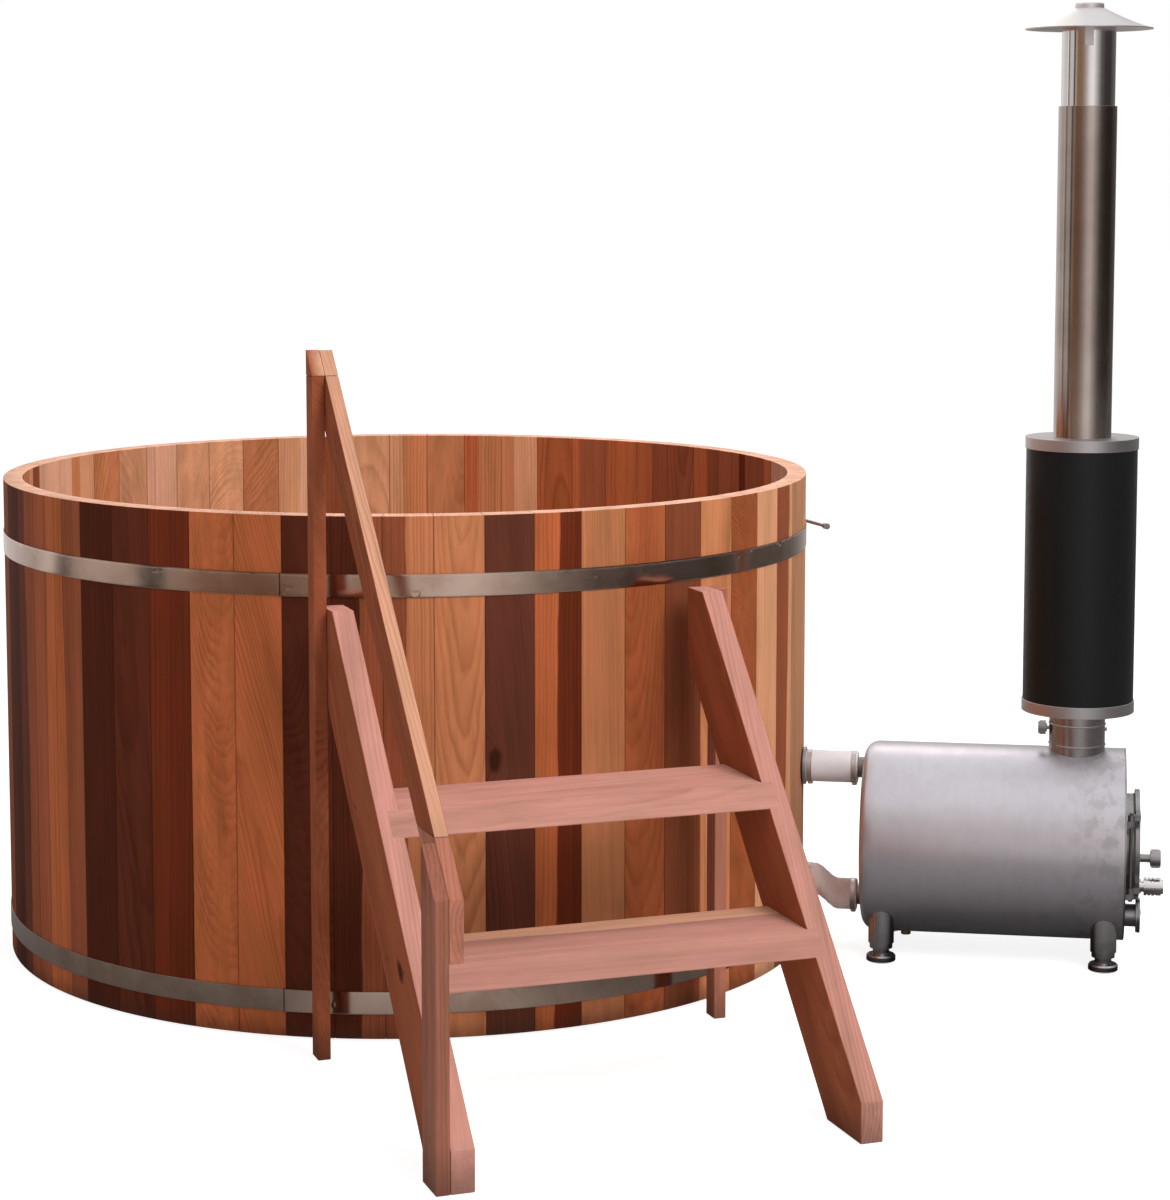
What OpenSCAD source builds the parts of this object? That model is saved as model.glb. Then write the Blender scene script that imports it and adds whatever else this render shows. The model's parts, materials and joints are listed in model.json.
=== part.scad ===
// Wood-fired cedar hot tub: a stave tub with two steel hoops, a free-standing
// stair with one handrail, and an outside stove on water hoses with its chimney.
// Millimetres. The origin is on the ground at the middle of the tub, under the
// middle floor bearer. +X points from the tub to the stove, +Z is up.

/* [Tub] */
// Outside diameter of the tub
tub_d = 1800; // [1600:10:2100]
// Height of the top of the staves above the ground
tub_h = 1053; // [950:1:1200]
// Thickness of the staves
stave_t = 42; // [36:1:48]
// Number of staves round the tub
stave_n = 56; // [50:1:60]
// Gap at each stave joint
stave_gap = 0.3; // [0.2:0.1:1]
// Gap between the staves and the ground
chime_gap = 3; // [1:1:6]
// Depth of the groove that holds the floor
croze_depth = 13; // [8:1:16]

/* [Hoops] */
// Width of a hoop band
hoop_w = 46; // [30:1:46]
// Thickness of a hoop band
hoop_t = 2; // [1.5:0.5:3]
// Height of the lower edge of the lower hoop
low_hoop_z = 54; // [20:1:54]
// Height of the lower edge of the upper hoop
top_hoop_z = 892; // [700:1:892]
// Direction of the hoop ends round the tub
hoop_joint_az = 29; // [24:1:60]
// Distance between the two turned-out ends of a hoop
ear_gap = 70; // [50:1:90]
// How far a hoop end stands out
ear_h = 38; // [32:1:46]
// Diameter of the tension rod
rod_d = 8; // [6:1:10]
// Length of the tension rod beyond the middle of its joint, at the free end
rod_free = 262; // [150:1:280]
// Length of the tension rod beyond the middle of its joint, at the nut end
rod_back = 60; // [56:1:90]

/* [Floor and benches] */
// Height of the floor bearers
bearer_h = 60; // [45:1:80]
// Width of a floor bearer
bearer_w = 70; // [50:1:90]
// Distance between the floor bearers
bearer_pitch = 560; // [400:10:600]
// Thickness of the floor boards
floor_t = 42; // [30:1:45]
// Width of a floor board
floor_board_w = 143; // [120:1:160]
// Height of the seats above the floor
seat_h = 400; // [350:5:450]
// Thickness of a seat board
seat_t = 40; // [30:1:45]
// Depth of the bench from its front edge to the wall
bench_depth = 374; // [340:1:390]
// Gap between the two boards of a bench, and at its ends
bench_gap = 10; // [6:1:20]
// Thickness of a bench support
support_t = 40; // [30:1:50]

/* [Water fittings] */
// Height of the upper water port
top_port_z = 402; // [380:1:403]
// Height of the lower water port in the tub wall
low_port_z = 145; // [145:1:170]
// Height of the lower water port in the stove
stove_port_z = 113; // [108:1:120]
// Outside diameter of a water pipe
pipe_d = 46; // [40:1:50]
// Wall of a water pipe
pipe_t = 3; // [2:0.5:4]
// Outside diameter of the hoses
hose_d = 70; // [62:1:72]
// Diameter of the flange on a wall fitting
wall_flange_d = 84; // [76:1:84]
// Diameter of the drain bore
drain_bore = 40; // [32:1:50]
// Diameter of the drain flange on the floor
drain_flange_d = 92; // [80:1:110]
// How far the drain lies from the middle of the tub
drain_x = 280; // [200:5:350]

/* [Stair] */
// Direction of the stair round the tub
stair_az = -61; // [-80:1:-55]
// How far the stair stands beside the tub's centre line
stair_shift = -29; // [-60:1:20]
// Clear width between the stringers
stair_w = 718; // [500:1:750]
// Thickness of the stringers
stringer_t = 44; // [36:1:50]
// Width of a stringer board
stringer_w = 157; // [130:1:170]
// Thickness of the posts and the handrail
post_t = 26; // [22:1:32]
// How far the back of the stair reaches in behind the tub's front
stair_tuck = 12; // [-30:1:14]
// Distance from the back of the stair to the front of its toes
stair_run = 842; // [780:1:900]
// Height of the top of the stringers
stringer_top = 888; // [850:1:930]
// Horizontal run of the stringers for each unit of height
stringer_slope = 0.94; // [0.88:0.01:1]
// Height of the upright cut at the toe of a stringer
toe_h = 76; // [50:1:100]
// Height of the top of the lower tread
low_tread_z = 331; // [300:1:350]
// Height of the top of the upper tread
top_tread_z = 563; // [530:1:600]
// Thickness of a tread
tread_t = 44; // [36:1:50]
// Depth of a tread along its top
tread_depth = 188; // [160:1:195]
// How far a tread is housed into a stringer
housing = 24; // [15:1:30]
// Depth of the tall post and of the back leg
back_leg_d = 44; // [40:1:60]
// Depth of the front post
front_post_d = 80; // [60:1:90]
// Height of the handrail's top edge at its front end
rail_front_z = 509; // [480:1:560]
// Rise of the handrail for each unit of run
rail_slope = 1.04; // [0.98:0.01:1.1]
// Height of the upright cut at the end of the handrail
rail_cut = 112; // [80:1:120]
// Diameter of the stair screws
screw_d = 6; // [5:0.5:7]
// Diameter of the heads of the stair screws
screw_head_d = 12; // [10:0.5:13]

/* [Stove] */
// Gap between the tub wall and the stove
stove_gap = 140; // [130:1:180]
// Length of the stove body
stove_len = 572; // [540:1:640]
// Outside diameter of the stove body
stove_d = 420; // [410:1:430]
// Height of the stove's centre line
stove_z = 250; // [250:1:270]
// Thickness of the sheet that the stove is made of
sheet_t = 2; // [1.5:0.5:3]
// Depth of the dished end
dish_depth = 40; // [36:1:50]
// Radius of the rounded edge of the dished end
dish_edge_r = 32; // [24:1:34]
// Outside diameter of the firebox
firebox_d = 372; // [366:1:376]
// Thickness of the firebox wall
firebox_t = 3; // [2:0.5:4]
// Gap between the dished end and the back of the firebox
water_space = 70; // [60:1:90]
// Thickness of the front plate
front_t = 4; // [3:0.5:6]
// Thickness of a grate bar
grate_bar = 12; // [10:1:14]
// Height of the grate below the centre line
grate_drop = 90; // [80:1:95]
// Number of grate bars
grate_n = 9; // [6:1:10]

/* [Stove door] */
// Outside diameter of the door frame
frame_d = 222; // [214:1:224]
// Wall of the door frame
frame_t = 5; // [4:0.5:6]
// How far the door frame stands out
frame_out = 17; // [15:1:22]
// Diameter of the door
door_d = 242; // [234:1:242]
// Thickness of the door
door_t = 10; // [8:1:12]
// Thickness of the door seal
seal_t = 4; // [3:0.5:5]
// Diameter of the hinge pin
hinge_pin_d = 7; // [6:0.5:8]
// Diameter of the hinge barrels
barrel_d = 15; // [13:1:17]
// Length of one hinge barrel
barrel_len = 13; // [10:1:16]
// Distance between the two hinges
hinge_span = 160; // [130:1:164]
// Diameter of the door handle's head
handle_d = 41; // [34:1:44]
// Length of the door handle
handle_len = 48; // [40:1:60]
// Diameter of the latch knob
latch_d = 40; // [34:1:42]
// Length of the latch knob
latch_len = 54; // [44:1:60]
// How far the latch lies below the stove's centre line
latch_drop = 94; // [84:1:95]

/* [Air intake] */
// Outside diameter of the air tube
air_d = 50; // [44:1:52]
// How far the air tube lies below the stove's centre line
air_drop = 160; // [160:1:161]
// Length of the air tube in front of the stove
air_out = 30; // [26:1:36]
// Diameter of the swinging air cover
cover_d = 76; // [70:1:76]
// Thickness of the air cover
cover_t = 6; // [4:1:8]

/* [Feet] */
// Distance from the dished end to the first pair of feet
foot_inset = 48; // [44:1:60]
// Distance between the front and the back pair of feet
foot_span = 480; // [440:1:490]
// Distance between the two rows of feet
foot_track = 270; // [240:1:280]
// Outside diameter of a leg socket
socket_d = 56; // [50:1:60]
// Diameter of a foot's disc
foot_d = 64; // [58:1:76]
// Thickness of a foot's disc
foot_t = 16; // [12:1:18]
// Diameter of a foot's screw
foot_screw_d = 30; // [24:1:34]
// Height of the bottom of the leg sockets
socket_z = 42; // [42:1:48]
// Distance from the dished end to the stove's drain
stove_drain_x = 95; // [88:1:120]

/* [Chimney] */
// Distance from the dished end to the chimney
flue_x = 465; // [440:1:475]
// Wall of the flue pipes
flue_t = 1.5; // [1:0.1:2]
// Height of the flue collar's visible part above the stove
collar_h = 86; // [80:1:100]
// Outside diameter of the lower flue pipe
low_flue_d = 125; // [124:1:132]
// Length of the lower flue pipe
low_flue_len = 1318; // [1150:1:1360]
// Outside diameter of the upper flue pipe
top_flue_d = 115; // [108:1:117]
// Length of the upper flue pipe above the lower one
top_flue_len = 170; // [120:1:200]
// How deep the upper flue pipe sits in the lower one
flue_overlap = 32; // [20:1:50]
// Outside diameter of the heat shield
shield_d = 240; // [220:1:250]
// Length of the heat shield
shield_len = 597; // [500:1:620]
// Height of the rings at the ends of the heat shield
ring_h = 25; // [18:1:32]
// Diameter of the rain cap
cap_d = 272; // [250:1:290]
// Height of the rain cap
cap_h = 54; // [48:1:64]
// Diameter of the flat on top of the rain cap
cap_top_d = 62; // [50:1:70]
// Diameter of the damper's spindle
spindle_d = 8; // [6:1:10]
// Height of the damper's spindle above the stove's top
damper_up = 45; // [40:1:50]
// Diameter of the damper's knob
damper_knob_d = 31; // [26:1:34]

/* [Fits] */
// Gap between pieces that seat on each other round a curve
seat_gap = 0.2; // [0.1:0.05:0.3]
// Radial clearance of a running fit
run_gap = 0.05; // [0.03:0.01:0.1]
// Gap between a moving piece and what it passes
move_gap = 0.3; // [0.3:0.1:0.6]

/* [Hidden] */
$fn = 96;

// One tone for each stave, going round from the stove: 0 dark, 1 red, 2 orange, 3 light.
STAVE_TONES = [
    2, 1, 3, 2, 0, 2, 3, 1, 2, 0, 3, 1, 2, 3, 2, 2, 3, 2, 1, 3, 1, 2, 2, 3, 2, 1, 1, 2,
    3, 0, 2, 1, 2, 3, 0, 2, 1, 0, 1, 1, 2, 2, 0, 0, 1, 3, 0, 1, 3, 2, 1, 3, 1, 3, 1, 3
];
TONE_COLOURS = ["#4d2317", "#8a4526", "#b5693a", "#cf9363"];
steel = "#b9b7b8";
dark_steel = "#6d6a6b";
cedar = "#c98a6c";

tub_r = tub_d / 2;
bore_r = tub_r - stave_t;
stave_step = 360 / stave_n;
floor_top = bearer_h + floor_t;
seat_top = floor_top + seat_h;
through = 400;
function sq(a) = a * a;

// ---------------------------------------------------------------- helpers

// A block with its lowest corner at p.
module block(p, s) {
    translate(p) cube(s);
}

// A cylinder along X, from x0 to x1, on the line y, z.
module x_rod(x0, x1, r, y = 0, z = 0) {
    translate([x0, y, z]) rotate([0, 90, 0]) cylinder(h = x1 - x0, r = r);
}

// A tube along X.
module x_tube(x0, x1, r_out, r_in, y = 0, z = 0) {
    translate([x0, y, z])
        rotate([0, 90, 0])
            linear_extrude(x1 - x0)
                difference() {
                    circle(r = r_out);
                    circle(r = r_in);
                }
}

// An upright tube.
module z_tube(z0, z1, r_out, r_in) {
    translate([0, 0, z0])
        linear_extrude(z1 - z0)
            difference() {
                circle(r = r_out);
                circle(r = r_in);
            }
}

// A hexagonal nut along X, from x0 to x1, with a bore.
module x_nut(x0, x1, flats, bore, y = 0, z = 0) {
    translate([x0, y, z])
        rotate([0, 90, 0])
            difference() {
                cylinder(h = x1 - x0, d = flats / cos(30), $fn = 6);
                translate([0, 0, -1]) cylinder(h = x1 - x0 + 2, d = bore);
            }
}

// ---------------------------------------------------------------- staves

// One stave: a slice of the wall, grooved inside for the floor.
module stave() {
    edge = stave_gap / 2 / tub_r * 180 / PI;
    rotate([0, 0, edge - stave_step / 2])
        rotate_extrude(angle = stave_step - 2 * edge)
            polygon([
                [bore_r, chime_gap],
                [tub_r, chime_gap],
                [tub_r, tub_h],
                [bore_r, tub_h],
                [bore_r, floor_top + seat_gap],
                [bore_r + croze_depth, floor_top + seat_gap],
                [bore_r + croze_depth, bearer_h - seat_gap],
                [bore_r, bearer_h - seat_gap]
            ]);
}

module staves(tone) {
    color(TONE_COLOURS[tone])
        for (i = [0 : stave_n - 1])
            if (STAVE_TONES[i % len(STAVE_TONES)] == tone)
                rotate([0, 0, i * stave_step])
                    difference() {
                        stave();
                        if (i == 0) port_holes();
                    }
}

// The two holes in the stave that faces the stove.
module port_holes() {
    for (z = [top_port_z, low_port_z])
        x_rod(bore_r - 10, tub_r + 10, pipe_d / 2 + seat_gap, 0, z);
}

// ---------------------------------------------------------------- hoops

hoop_in = tub_r + seat_gap;
hoop_out = hoop_in + hoop_t;
rod_r = hoop_out + ear_h / 2;
nut_flats = rod_d * 1.7;
nut_len = rod_d * 0.9;

// Puts its children at the joint of a hoop: +X outward, Y along the rod.
module at_joint(z) {
    translate([0, 0, z]) rotate([0, 0, hoop_joint_az]) children();
}

// One end of a hoop, turned outward, on the side s of the joint.
module ear(s) {
    y0 = s > 0 ? ear_gap / 2 : -ear_gap / 2 - 2 * hoop_t;
    x0 = sqrt(sq(hoop_in) - sq(ear_gap / 2 + 2 * hoop_t));
    difference() {
        block([x0, y0, 0], [hoop_out + ear_h - x0, 2 * hoop_t, hoop_w]);
        translate([0, 0, -1]) cylinder(h = hoop_w + 2, r = hoop_in);
        translate([rod_r, y0 - 1, hoop_w / 2])
            rotate([-90, 0, 0])
                cylinder(h = 2 * hoop_t + 2, d = rod_d + 2 * seat_gap);
    }
}

module hoop() {
    difference() {
        z_tube(0, hoop_w, hoop_out, hoop_in);
        block([0, -ear_gap / 2, -1], [tub_r + through, ear_gap, hoop_w + 2]);
    }
    for (s = [-1, 1]) ear(s);
}

module hoops() {
    color(steel)
        for (z = [low_hoop_z, top_hoop_z]) at_joint(z) hoop();
}

module tension_rods() {
    color(dark_steel)
        for (z = [low_hoop_z, top_hoop_z])
            at_joint(z + hoop_w / 2)
                translate([rod_r, -rod_free, 0])
                    rotate([-90, 0, 0])
                        cylinder(h = rod_free + rod_back, d = rod_d);
}

// A nut on the rod, starting at y, growing towards the side s.
module rod_nut(y, s) {
    translate([rod_r, s > 0 ? y : y - nut_len, 0])
        rotate([-90, 0, 0])
            difference() {
                cylinder(h = nut_len, d = nut_flats / cos(30), $fn = 6);
                translate([0, 0, -1]) cylinder(h = nut_len + 2, d = rod_d + 2 * run_gap);
            }
}

// The cap that closes the free end of a rod.
module rod_cap() {
    cap_len = rod_d * 2;
    translate([rod_r, -rod_free - rod_d / 2, 0])
        rotate([-90, 0, 0])
            difference() {
                cylinder(h = cap_len, d = nut_flats);
                translate([0, 0, rod_d / 2]) cylinder(h = cap_len, d = rod_d + 2 * run_gap);
            }
}

module rod_nuts() {
    outer = ear_gap / 2 + 2 * hoop_t;
    color(steel)
        for (z = [low_hoop_z, top_hoop_z])
            at_joint(z + hoop_w / 2) {
                rod_nut(outer, 1);
                rod_nut(-outer, -1);
                rod_cap();
            }
}

// ---------------------------------------------------------------- floor

module floor_bearers() {
    clear_r = bore_r - 6;
    color(cedar)
        for (i = [-1 : 1]) {
            x = i * bearer_pitch;
            half = sqrt(sq(clear_r) - sq(abs(x) + bearer_w / 2));
            block([x - bearer_w / 2, -half, 0], [bearer_w, 2 * half, bearer_h]);
        }
}

module floor_boards() {
    disc_r = bore_r + croze_depth - seat_gap;
    n = ceil(disc_r / floor_board_w + 0.5);
    color(cedar)
        difference() {
            intersection() {
                translate([0, 0, bearer_h]) cylinder(h = floor_t, r = disc_r);
                for (i = [-n : n])
                    block(
                        [-disc_r, (i - 0.5) * floor_board_w + stave_gap / 2, bearer_h - 1],
                        [2 * disc_r, floor_board_w - stave_gap, floor_t + 2]
                    );
            }
            translate([-drain_x, 0, 0])
                cylinder(h = floor_top + 1, d = drain_bore + 4 * pipe_t + 2 * seat_gap);
        }
}

// ---------------------------------------------------------------- benches

bench_out = bore_r - 4;
bench_in = bore_r - bench_depth;
bench_span = 60;
BENCH_AZ = [59, 119, 179];

module bench_seats() {
    color(cedar)
        for (az = BENCH_AZ)
            rotate([0, 0, az]) translate([0, 0, seat_top - seat_t]) bench_pair();
}

// The two boards of one bench, cut to its share of the round.
module bench_pair() {
    reach = bench_out / cos(bench_span / 2) + 1;
    edge = bench_gap / 2;
    split = (bench_in + bench_out - bench_gap) / 2;
    linear_extrude(seat_t)
        intersection() {
            circle(r = bench_out);
            polygon([
                [2 * edge, 0],
                [reach, (reach - 2 * edge) * tan(bench_span / 2)],
                [reach, -(reach - 2 * edge) * tan(bench_span / 2)]
            ]);
            union() {
                translate([bench_in, -reach]) square([split - bench_in, 2 * reach]);
                translate([split + bench_gap, -reach]) square([reach, 2 * reach]);
            }
        }
}

module bench_supports() {
    ends = [BENCH_AZ[0] - bench_span / 2, BENCH_AZ[2] + bench_span / 2];
    lean = (support_t / 2 + bench_gap) / bench_in * 180 / PI;
    places = [
        ends[0] + lean,
        (BENCH_AZ[0] + BENCH_AZ[1]) / 2,
        (BENCH_AZ[1] + BENCH_AZ[2]) / 2,
        ends[1] - lean
    ];
    color(cedar)
        for (az = places)
            rotate([0, 0, az])
                block(
                    [bench_in + 60, -support_t / 2, floor_top],
                    [bench_out - bench_in - 90, support_t, seat_h - seat_t]
                );
}

// ---------------------------------------------------------------- drain

drain_pipe_r = drain_bore / 2 + 2 * pipe_t;
drain_low = 18;
drain_tail = 26;
drain_tail_r = drain_bore / 2 + pipe_t + 1;
flange_t = 5;
locknut_t = 12;

module at_drain() {
    translate([-drain_x, 0, 0]) children();
}

module drain_fitting() {
    color(steel)
        at_drain() {
            z_tube(drain_low, drain_low + drain_tail, drain_tail_r, drain_bore / 2);
            z_tube(drain_low + drain_tail, floor_top, drain_pipe_r, drain_bore / 2);
            z_tube(floor_top, floor_top + flange_t, drain_flange_d / 2, drain_bore / 2);
        }
}

module drain_locknut() {
    color(dark_steel)
        at_drain()
            translate([0, 0, bearer_h - locknut_t])
                difference() {
                    cylinder(h = locknut_t, r = drain_pipe_r + 12, $fn = 6);
                    translate([0, 0, -1])
                        cylinder(h = locknut_t + 2, r = drain_pipe_r + run_gap);
                }
}

// A stopper with a pull ring, seated in the drain flange.
module drain_plug() {
    plug_len = 22;
    head_r = drain_bore / 2 + 9;
    head_t = 7;
    ring_r = 11;
    wire_r = 2;
    color("#2c2c2e")
        at_drain()
            translate([0, 0, floor_top + flange_t]) {
                translate([0, 0, -plug_len])
                    cylinder(h = plug_len, r = drain_bore / 2 - run_gap * 2);
                cylinder(h = head_t, r = head_r);
                translate([0, 0, head_t + ring_r - wire_r])
                    rotate([90, 0, 0])
                        rotate_extrude() translate([ring_r, 0]) circle(r = wire_r, $fn = 24);
            }
}

// ---------------------------------------------------------------- water fittings

seal_w = 4;
nut_wall = 13;
wall_face = tub_r + seal_w;
inner_face = bore_r - 5;
pipe_r = pipe_d / 2;
pipe_bore = pipe_r - pipe_t;
spigot_len = 22;
pipe_in = 50;
nut_out = pipe_d + 2 * nut_wall;

module wall_fittings() {
    color(steel)
        for (z = [top_port_z, low_port_z]) {
            x_tube(inner_face - pipe_in, wall_face + flange_t + spigot_len, pipe_r, pipe_bore, 0, z);
            x_tube(wall_face, wall_face + flange_t, wall_flange_d / 2, pipe_bore, 0, z);
        }
}

// Rubber washers, shaped to the round wall on one side and flat on the other.
module wall_seals() {
    color("#2b2a2a")
        for (z = [top_port_z, low_port_z]) {
            difference() {
                x_tube(tub_r - 10, wall_face, wall_flange_d / 2 - 3, pipe_r + seat_gap, 0, z);
                translate([0, 0, z - through / 2])
                    cylinder(h = through, r = tub_r + seat_gap, $fn = 720);
            }
            intersection() {
                x_tube(inner_face, bore_r + 1, nut_out / 2, pipe_r + seat_gap, 0, z);
                translate([0, 0, z - through / 2])
                    cylinder(h = through, r = bore_r - seat_gap, $fn = 720);
            }
        }
}

module wall_locknuts() {
    color(steel)
        for (z = [top_port_z, low_port_z])
            x_nut(inner_face - locknut_t, inner_face, nut_out, pipe_d + 2 * run_gap, 0, z);
}

// Slotted cups over the inner ends of the water pipes.
module water_grilles() {
    cup_t = 4;
    cup_len = 46;
    cup_out = pipe_r + cup_t;
    cup_in = pipe_r + run_gap;
    x1 = inner_face - locknut_t - cup_t;
    x0 = x1 - cup_len;
    slot = 4;
    color(steel)
        for (z = [top_port_z, low_port_z])
            difference() {
                x_rod(x0, x1, cup_out, 0, z);
                x_rod(x0 + cup_t, x1 + 1, cup_in, 0, z);
                for (i = [-3 : 3])
                    block([x0 - 1, i * 2 * slot - slot / 2, z - pipe_r * 0.6],
                        [cup_t + 2, slot, pipe_r * 1.2]);
            }
}

hose_r = hose_d / 2;
hose_x0 = wall_face + flange_t + seat_gap;
stove_x = tub_r + stove_gap;
port_reach = 36;
hose_x1 = stove_x - 15;
hose_in = pipe_r + run_gap;

module upper_hose() {
    color("#d9d6d0")
        x_tube(hose_x0, hose_x1, hose_r, hose_in, 0, top_port_z);
}

// The filled shape of the lower hose, of radius r: level on both of its pipes and
// slanting between them. Its three parts run past the bends by lap.
module bent_hose(r, over, lap) {
    xa = wall_face + flange_t + spigot_len + 1;
    xb = stove_x - port_reach - 1;
    drop = low_port_z - stove_port_z;
    run = xb - xa;
    x_rod(hose_x0 - over, xa + lap, r, 0, low_port_z);
    x_rod(xb - lap, hose_x1 + over, r, 0, stove_port_z);
    translate([xa, 0, low_port_z])
        rotate([0, 90 + atan2(drop, run), 0])
            translate([0, 0, -lap]) cylinder(h = sqrt(sq(drop) + sq(run)) + 2 * lap, r = r);
}

module lower_hose() {
    color("#b6a8a0")
        difference() {
            bent_hose(hose_r, 0, 9);
            bent_hose(hose_in, 1, 6);
        }
}

module hose_clamps() {
    band_w = 11;
    inset = 3;
    at = [
        [hose_x0 + inset, top_port_z],
        [hose_x1 - inset - band_w, top_port_z],
        [hose_x0 + inset, low_port_z],
        [hose_x1 - inset - band_w, stove_port_z]
    ];
    color(dark_steel)
        for (p = at) {
            x_tube(p[0], p[0] + band_w, hose_r + seat_gap + 1, hose_r + seat_gap, 0, p[1]);
            block([p[0], 4, p[1] - hose_r - 8], [band_w, 16, 7]);
        }
}

// ---------------------------------------------------------------- stair

half_w = stair_w / 2;
stair_back = tub_r - stair_tuck;
stair_front = stair_back + stair_run;
run_across = stringer_w * sqrt(1 + sq(stringer_slope));
head_t = 4;

// How far out the front edge of the stringers lies at the height z.
function front_at(z) = stair_front - stringer_slope * (z - toe_h);
// Height of the handrail's top edge at the distance v from the tub's middle.
function rail_at(v) = rail_front_z + (stair_front - v) * rail_slope;

// Puts its children in the stair's place: X across, the tub behind, -Y outward.
module at_stair() {
    rotate([0, 0, stair_az + 90]) translate([stair_shift, 0, 0]) children();
}

// A board of thickness t across the stair from x0, with a side outline of
// points given as distance from the tub's middle and height.
module side_board(x0, t, outline) {
    translate([x0, 0, 0])
        rotate([90, 0, 90])
            linear_extrude(t) polygon([for (p = outline) [-p[0], p[1]]]);
}

// Side outline of a tread with its top at z, grown by g, and by f at the front.
past_front = 1;
function tread_outline(z, g, f) = [
    [front_at(z + g) + f, z + g],
    [front_at(z) - tread_depth - g, z + g],
    [front_at(z) - tread_depth - g, z - tread_t - g],
    [front_at(z - tread_t - g) + f, z - tread_t - g]
];

module stringer(x0, housing_x) {
    back_z = toe_h + (stair_front - stair_back - run_across) / stringer_slope;
    color(cedar)
        difference() {
            side_board(x0, stringer_t, [
                [stair_front, 0],
                [stair_front, toe_h],
                [front_at(stringer_top), stringer_top],
                [stair_back, stringer_top],
                [stair_back, back_z],
                [front_at(0) - run_across, 0]
            ]);
            for (z = [low_tread_z, top_tread_z])
                side_board(housing_x, housing, tread_outline(z, seat_gap, past_front));
            stair_bores();
        }
}

module left_stringer() {
    at_stair() stringer(-half_w - stringer_t, -half_w - housing);
}

module right_stringer() {
    at_stair() stringer(half_w, half_w);
}

module treads() {
    reach = half_w + housing - seat_gap;
    color(cedar)
        at_stair()
            for (z = [low_tread_z, top_tread_z])
                difference() {
                    side_board(-reach, 2 * reach, tread_outline(z, 0, 0));
                    stair_bores();
                }
}

left_face = -half_w - stringer_t;
right_face = half_w + stringer_t;

module tall_post() {
    color(cedar)
        at_stair()
            difference() {
                side_board(left_face - post_t, post_t, [
                    [stair_back, 0],
                    [stair_back, rail_at(stair_back)],
                    [stair_back + back_leg_d, rail_at(stair_back + back_leg_d)],
                    [stair_back + back_leg_d, 0]
                ]);
                stair_bores();
            }
}

module back_leg() {
    color(cedar)
        at_stair()
            difference() {
                side_board(right_face, post_t, [
                    [stair_back, 0],
                    [stair_back, stringer_top],
                    [stair_back + back_leg_d, stringer_top],
                    [stair_back + back_leg_d, 0]
                ]);
                stair_bores();
            }
}

module front_post() {
    v0 = stair_front - front_post_d;
    color(cedar)
        at_stair()
            difference() {
                side_board(left_face - post_t, post_t, [
                    [v0, 0],
                    [v0, rail_at(v0)],
                    [stair_front, rail_at(stair_front)],
                    [stair_front, 0]
                ]);
                stair_bores();
            }
}

module handrail() {
    color(cedar)
        at_stair()
            difference() {
                side_board(left_face, post_t, [
                    [stair_back, rail_at(stair_back) - rail_cut],
                    [stair_back, rail_at(stair_back)],
                    [stair_front, rail_at(stair_front)],
                    [stair_front, rail_at(stair_front) - rail_cut]
                ]);
                stair_bores();
            }
}

// Each screw: face it starts from, direction, length, distance out, height.
function tread_mid(z) = front_at(z) - tread_depth / 2;
leg_v = stair_back + back_leg_d / 2;
post_v = stair_front - front_post_d / 2;
post_screw = post_t + stringer_t * 0.6;
rail_screw = post_t + post_t * 0.7;
tread_bite = 30;
tread_screw = stringer_t + tread_bite;
screw_edge = 30;
screw_pitch = 45;
tread_pitch = 100;
leg_screw_z = [stringer_top - screw_edge, stringer_top - screw_edge - screw_pitch];
toe_screw_z = [toe_h * 0.5, toe_h * 1.2];
rail_share = [0.35, 0.7];
STAIR_SCREWS = [
    for (z = leg_screw_z)
        for (s = [-1, 1])
            [s * (right_face + post_t), -s, post_screw, leg_v, z],
    for (z = toe_screw_z)
        [left_face - post_t, 1, post_screw, post_v, z],
    for (v = [leg_v, post_v])
        for (k = rail_share)
            [left_face - post_t, 1, rail_screw, v, rail_at(v) - rail_cut * k],
    for (z = [low_tread_z, top_tread_z])
        for (dv = [-tread_pitch / 2, tread_pitch / 2])
            for (s = [-1, 1])
                [s * right_face, -s, tread_screw, tread_mid(z) + dv, z - tread_t / 2]
];

// One countersunk screw, grown by g.
module stair_screw(k, g) {
    translate([k[0], -k[3], k[4]])
        rotate([0, k[1] * 90, 0]) {
            translate([0, 0, -g]) cylinder(h = k[2] + 2 * g, d = screw_d + 2 * g);
            translate([0, 0, -g])
                cylinder(h = head_t + g, d = screw_head_d + 2 * g);
        }
}

module stair_bores() {
    for (k = STAIR_SCREWS) stair_screw(k, seat_gap);
}

module stair_screws() {
    color(steel)
        at_stair()
            for (k = STAIR_SCREWS) stair_screw(k, 0);
}

// ---------------------------------------------------------------- stove body

stove_r = stove_d / 2;
shell_x0 = stove_x + dish_depth;
stove_x1 = stove_x + stove_len;
plate_x0 = stove_x1 - front_t;
firebox_r = firebox_d / 2;
firebox_x0 = stove_x + water_space;
frame_r = frame_d / 2;
air_r = air_d / 2;
boss_r = 12;
plug_r = 8;

// Puts its children on the stove's centre line.
module at_axis() {
    translate([0, 0, stove_z]) children();
}

// Puts its children at the stove's drain, on the ground.
module at_stove_drain() {
    translate([stove_x + stove_drain_x, 0, 0]) children();
}

module stove_jacket() {
    boss_h = 4;
    color(steel)
        difference() {
            union() {
                at_axis() x_rod(shell_x0, plate_x0, stove_r);
                at_stove_drain()
                    translate([0, 0, stove_z - stove_r - boss_h])
                        cylinder(h = boss_h + sheet_t, r = boss_r);
            }
            at_axis() x_rod(shell_x0 - 1, plate_x0 + 1, stove_r - sheet_t);
            at_stove_drain() cylinder(h = stove_z, r = plug_r);
            at_flue()
                translate([0, 0, stove_z]) cylinder(h = through, r = collar_r + seat_gap);
        }
}

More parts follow.
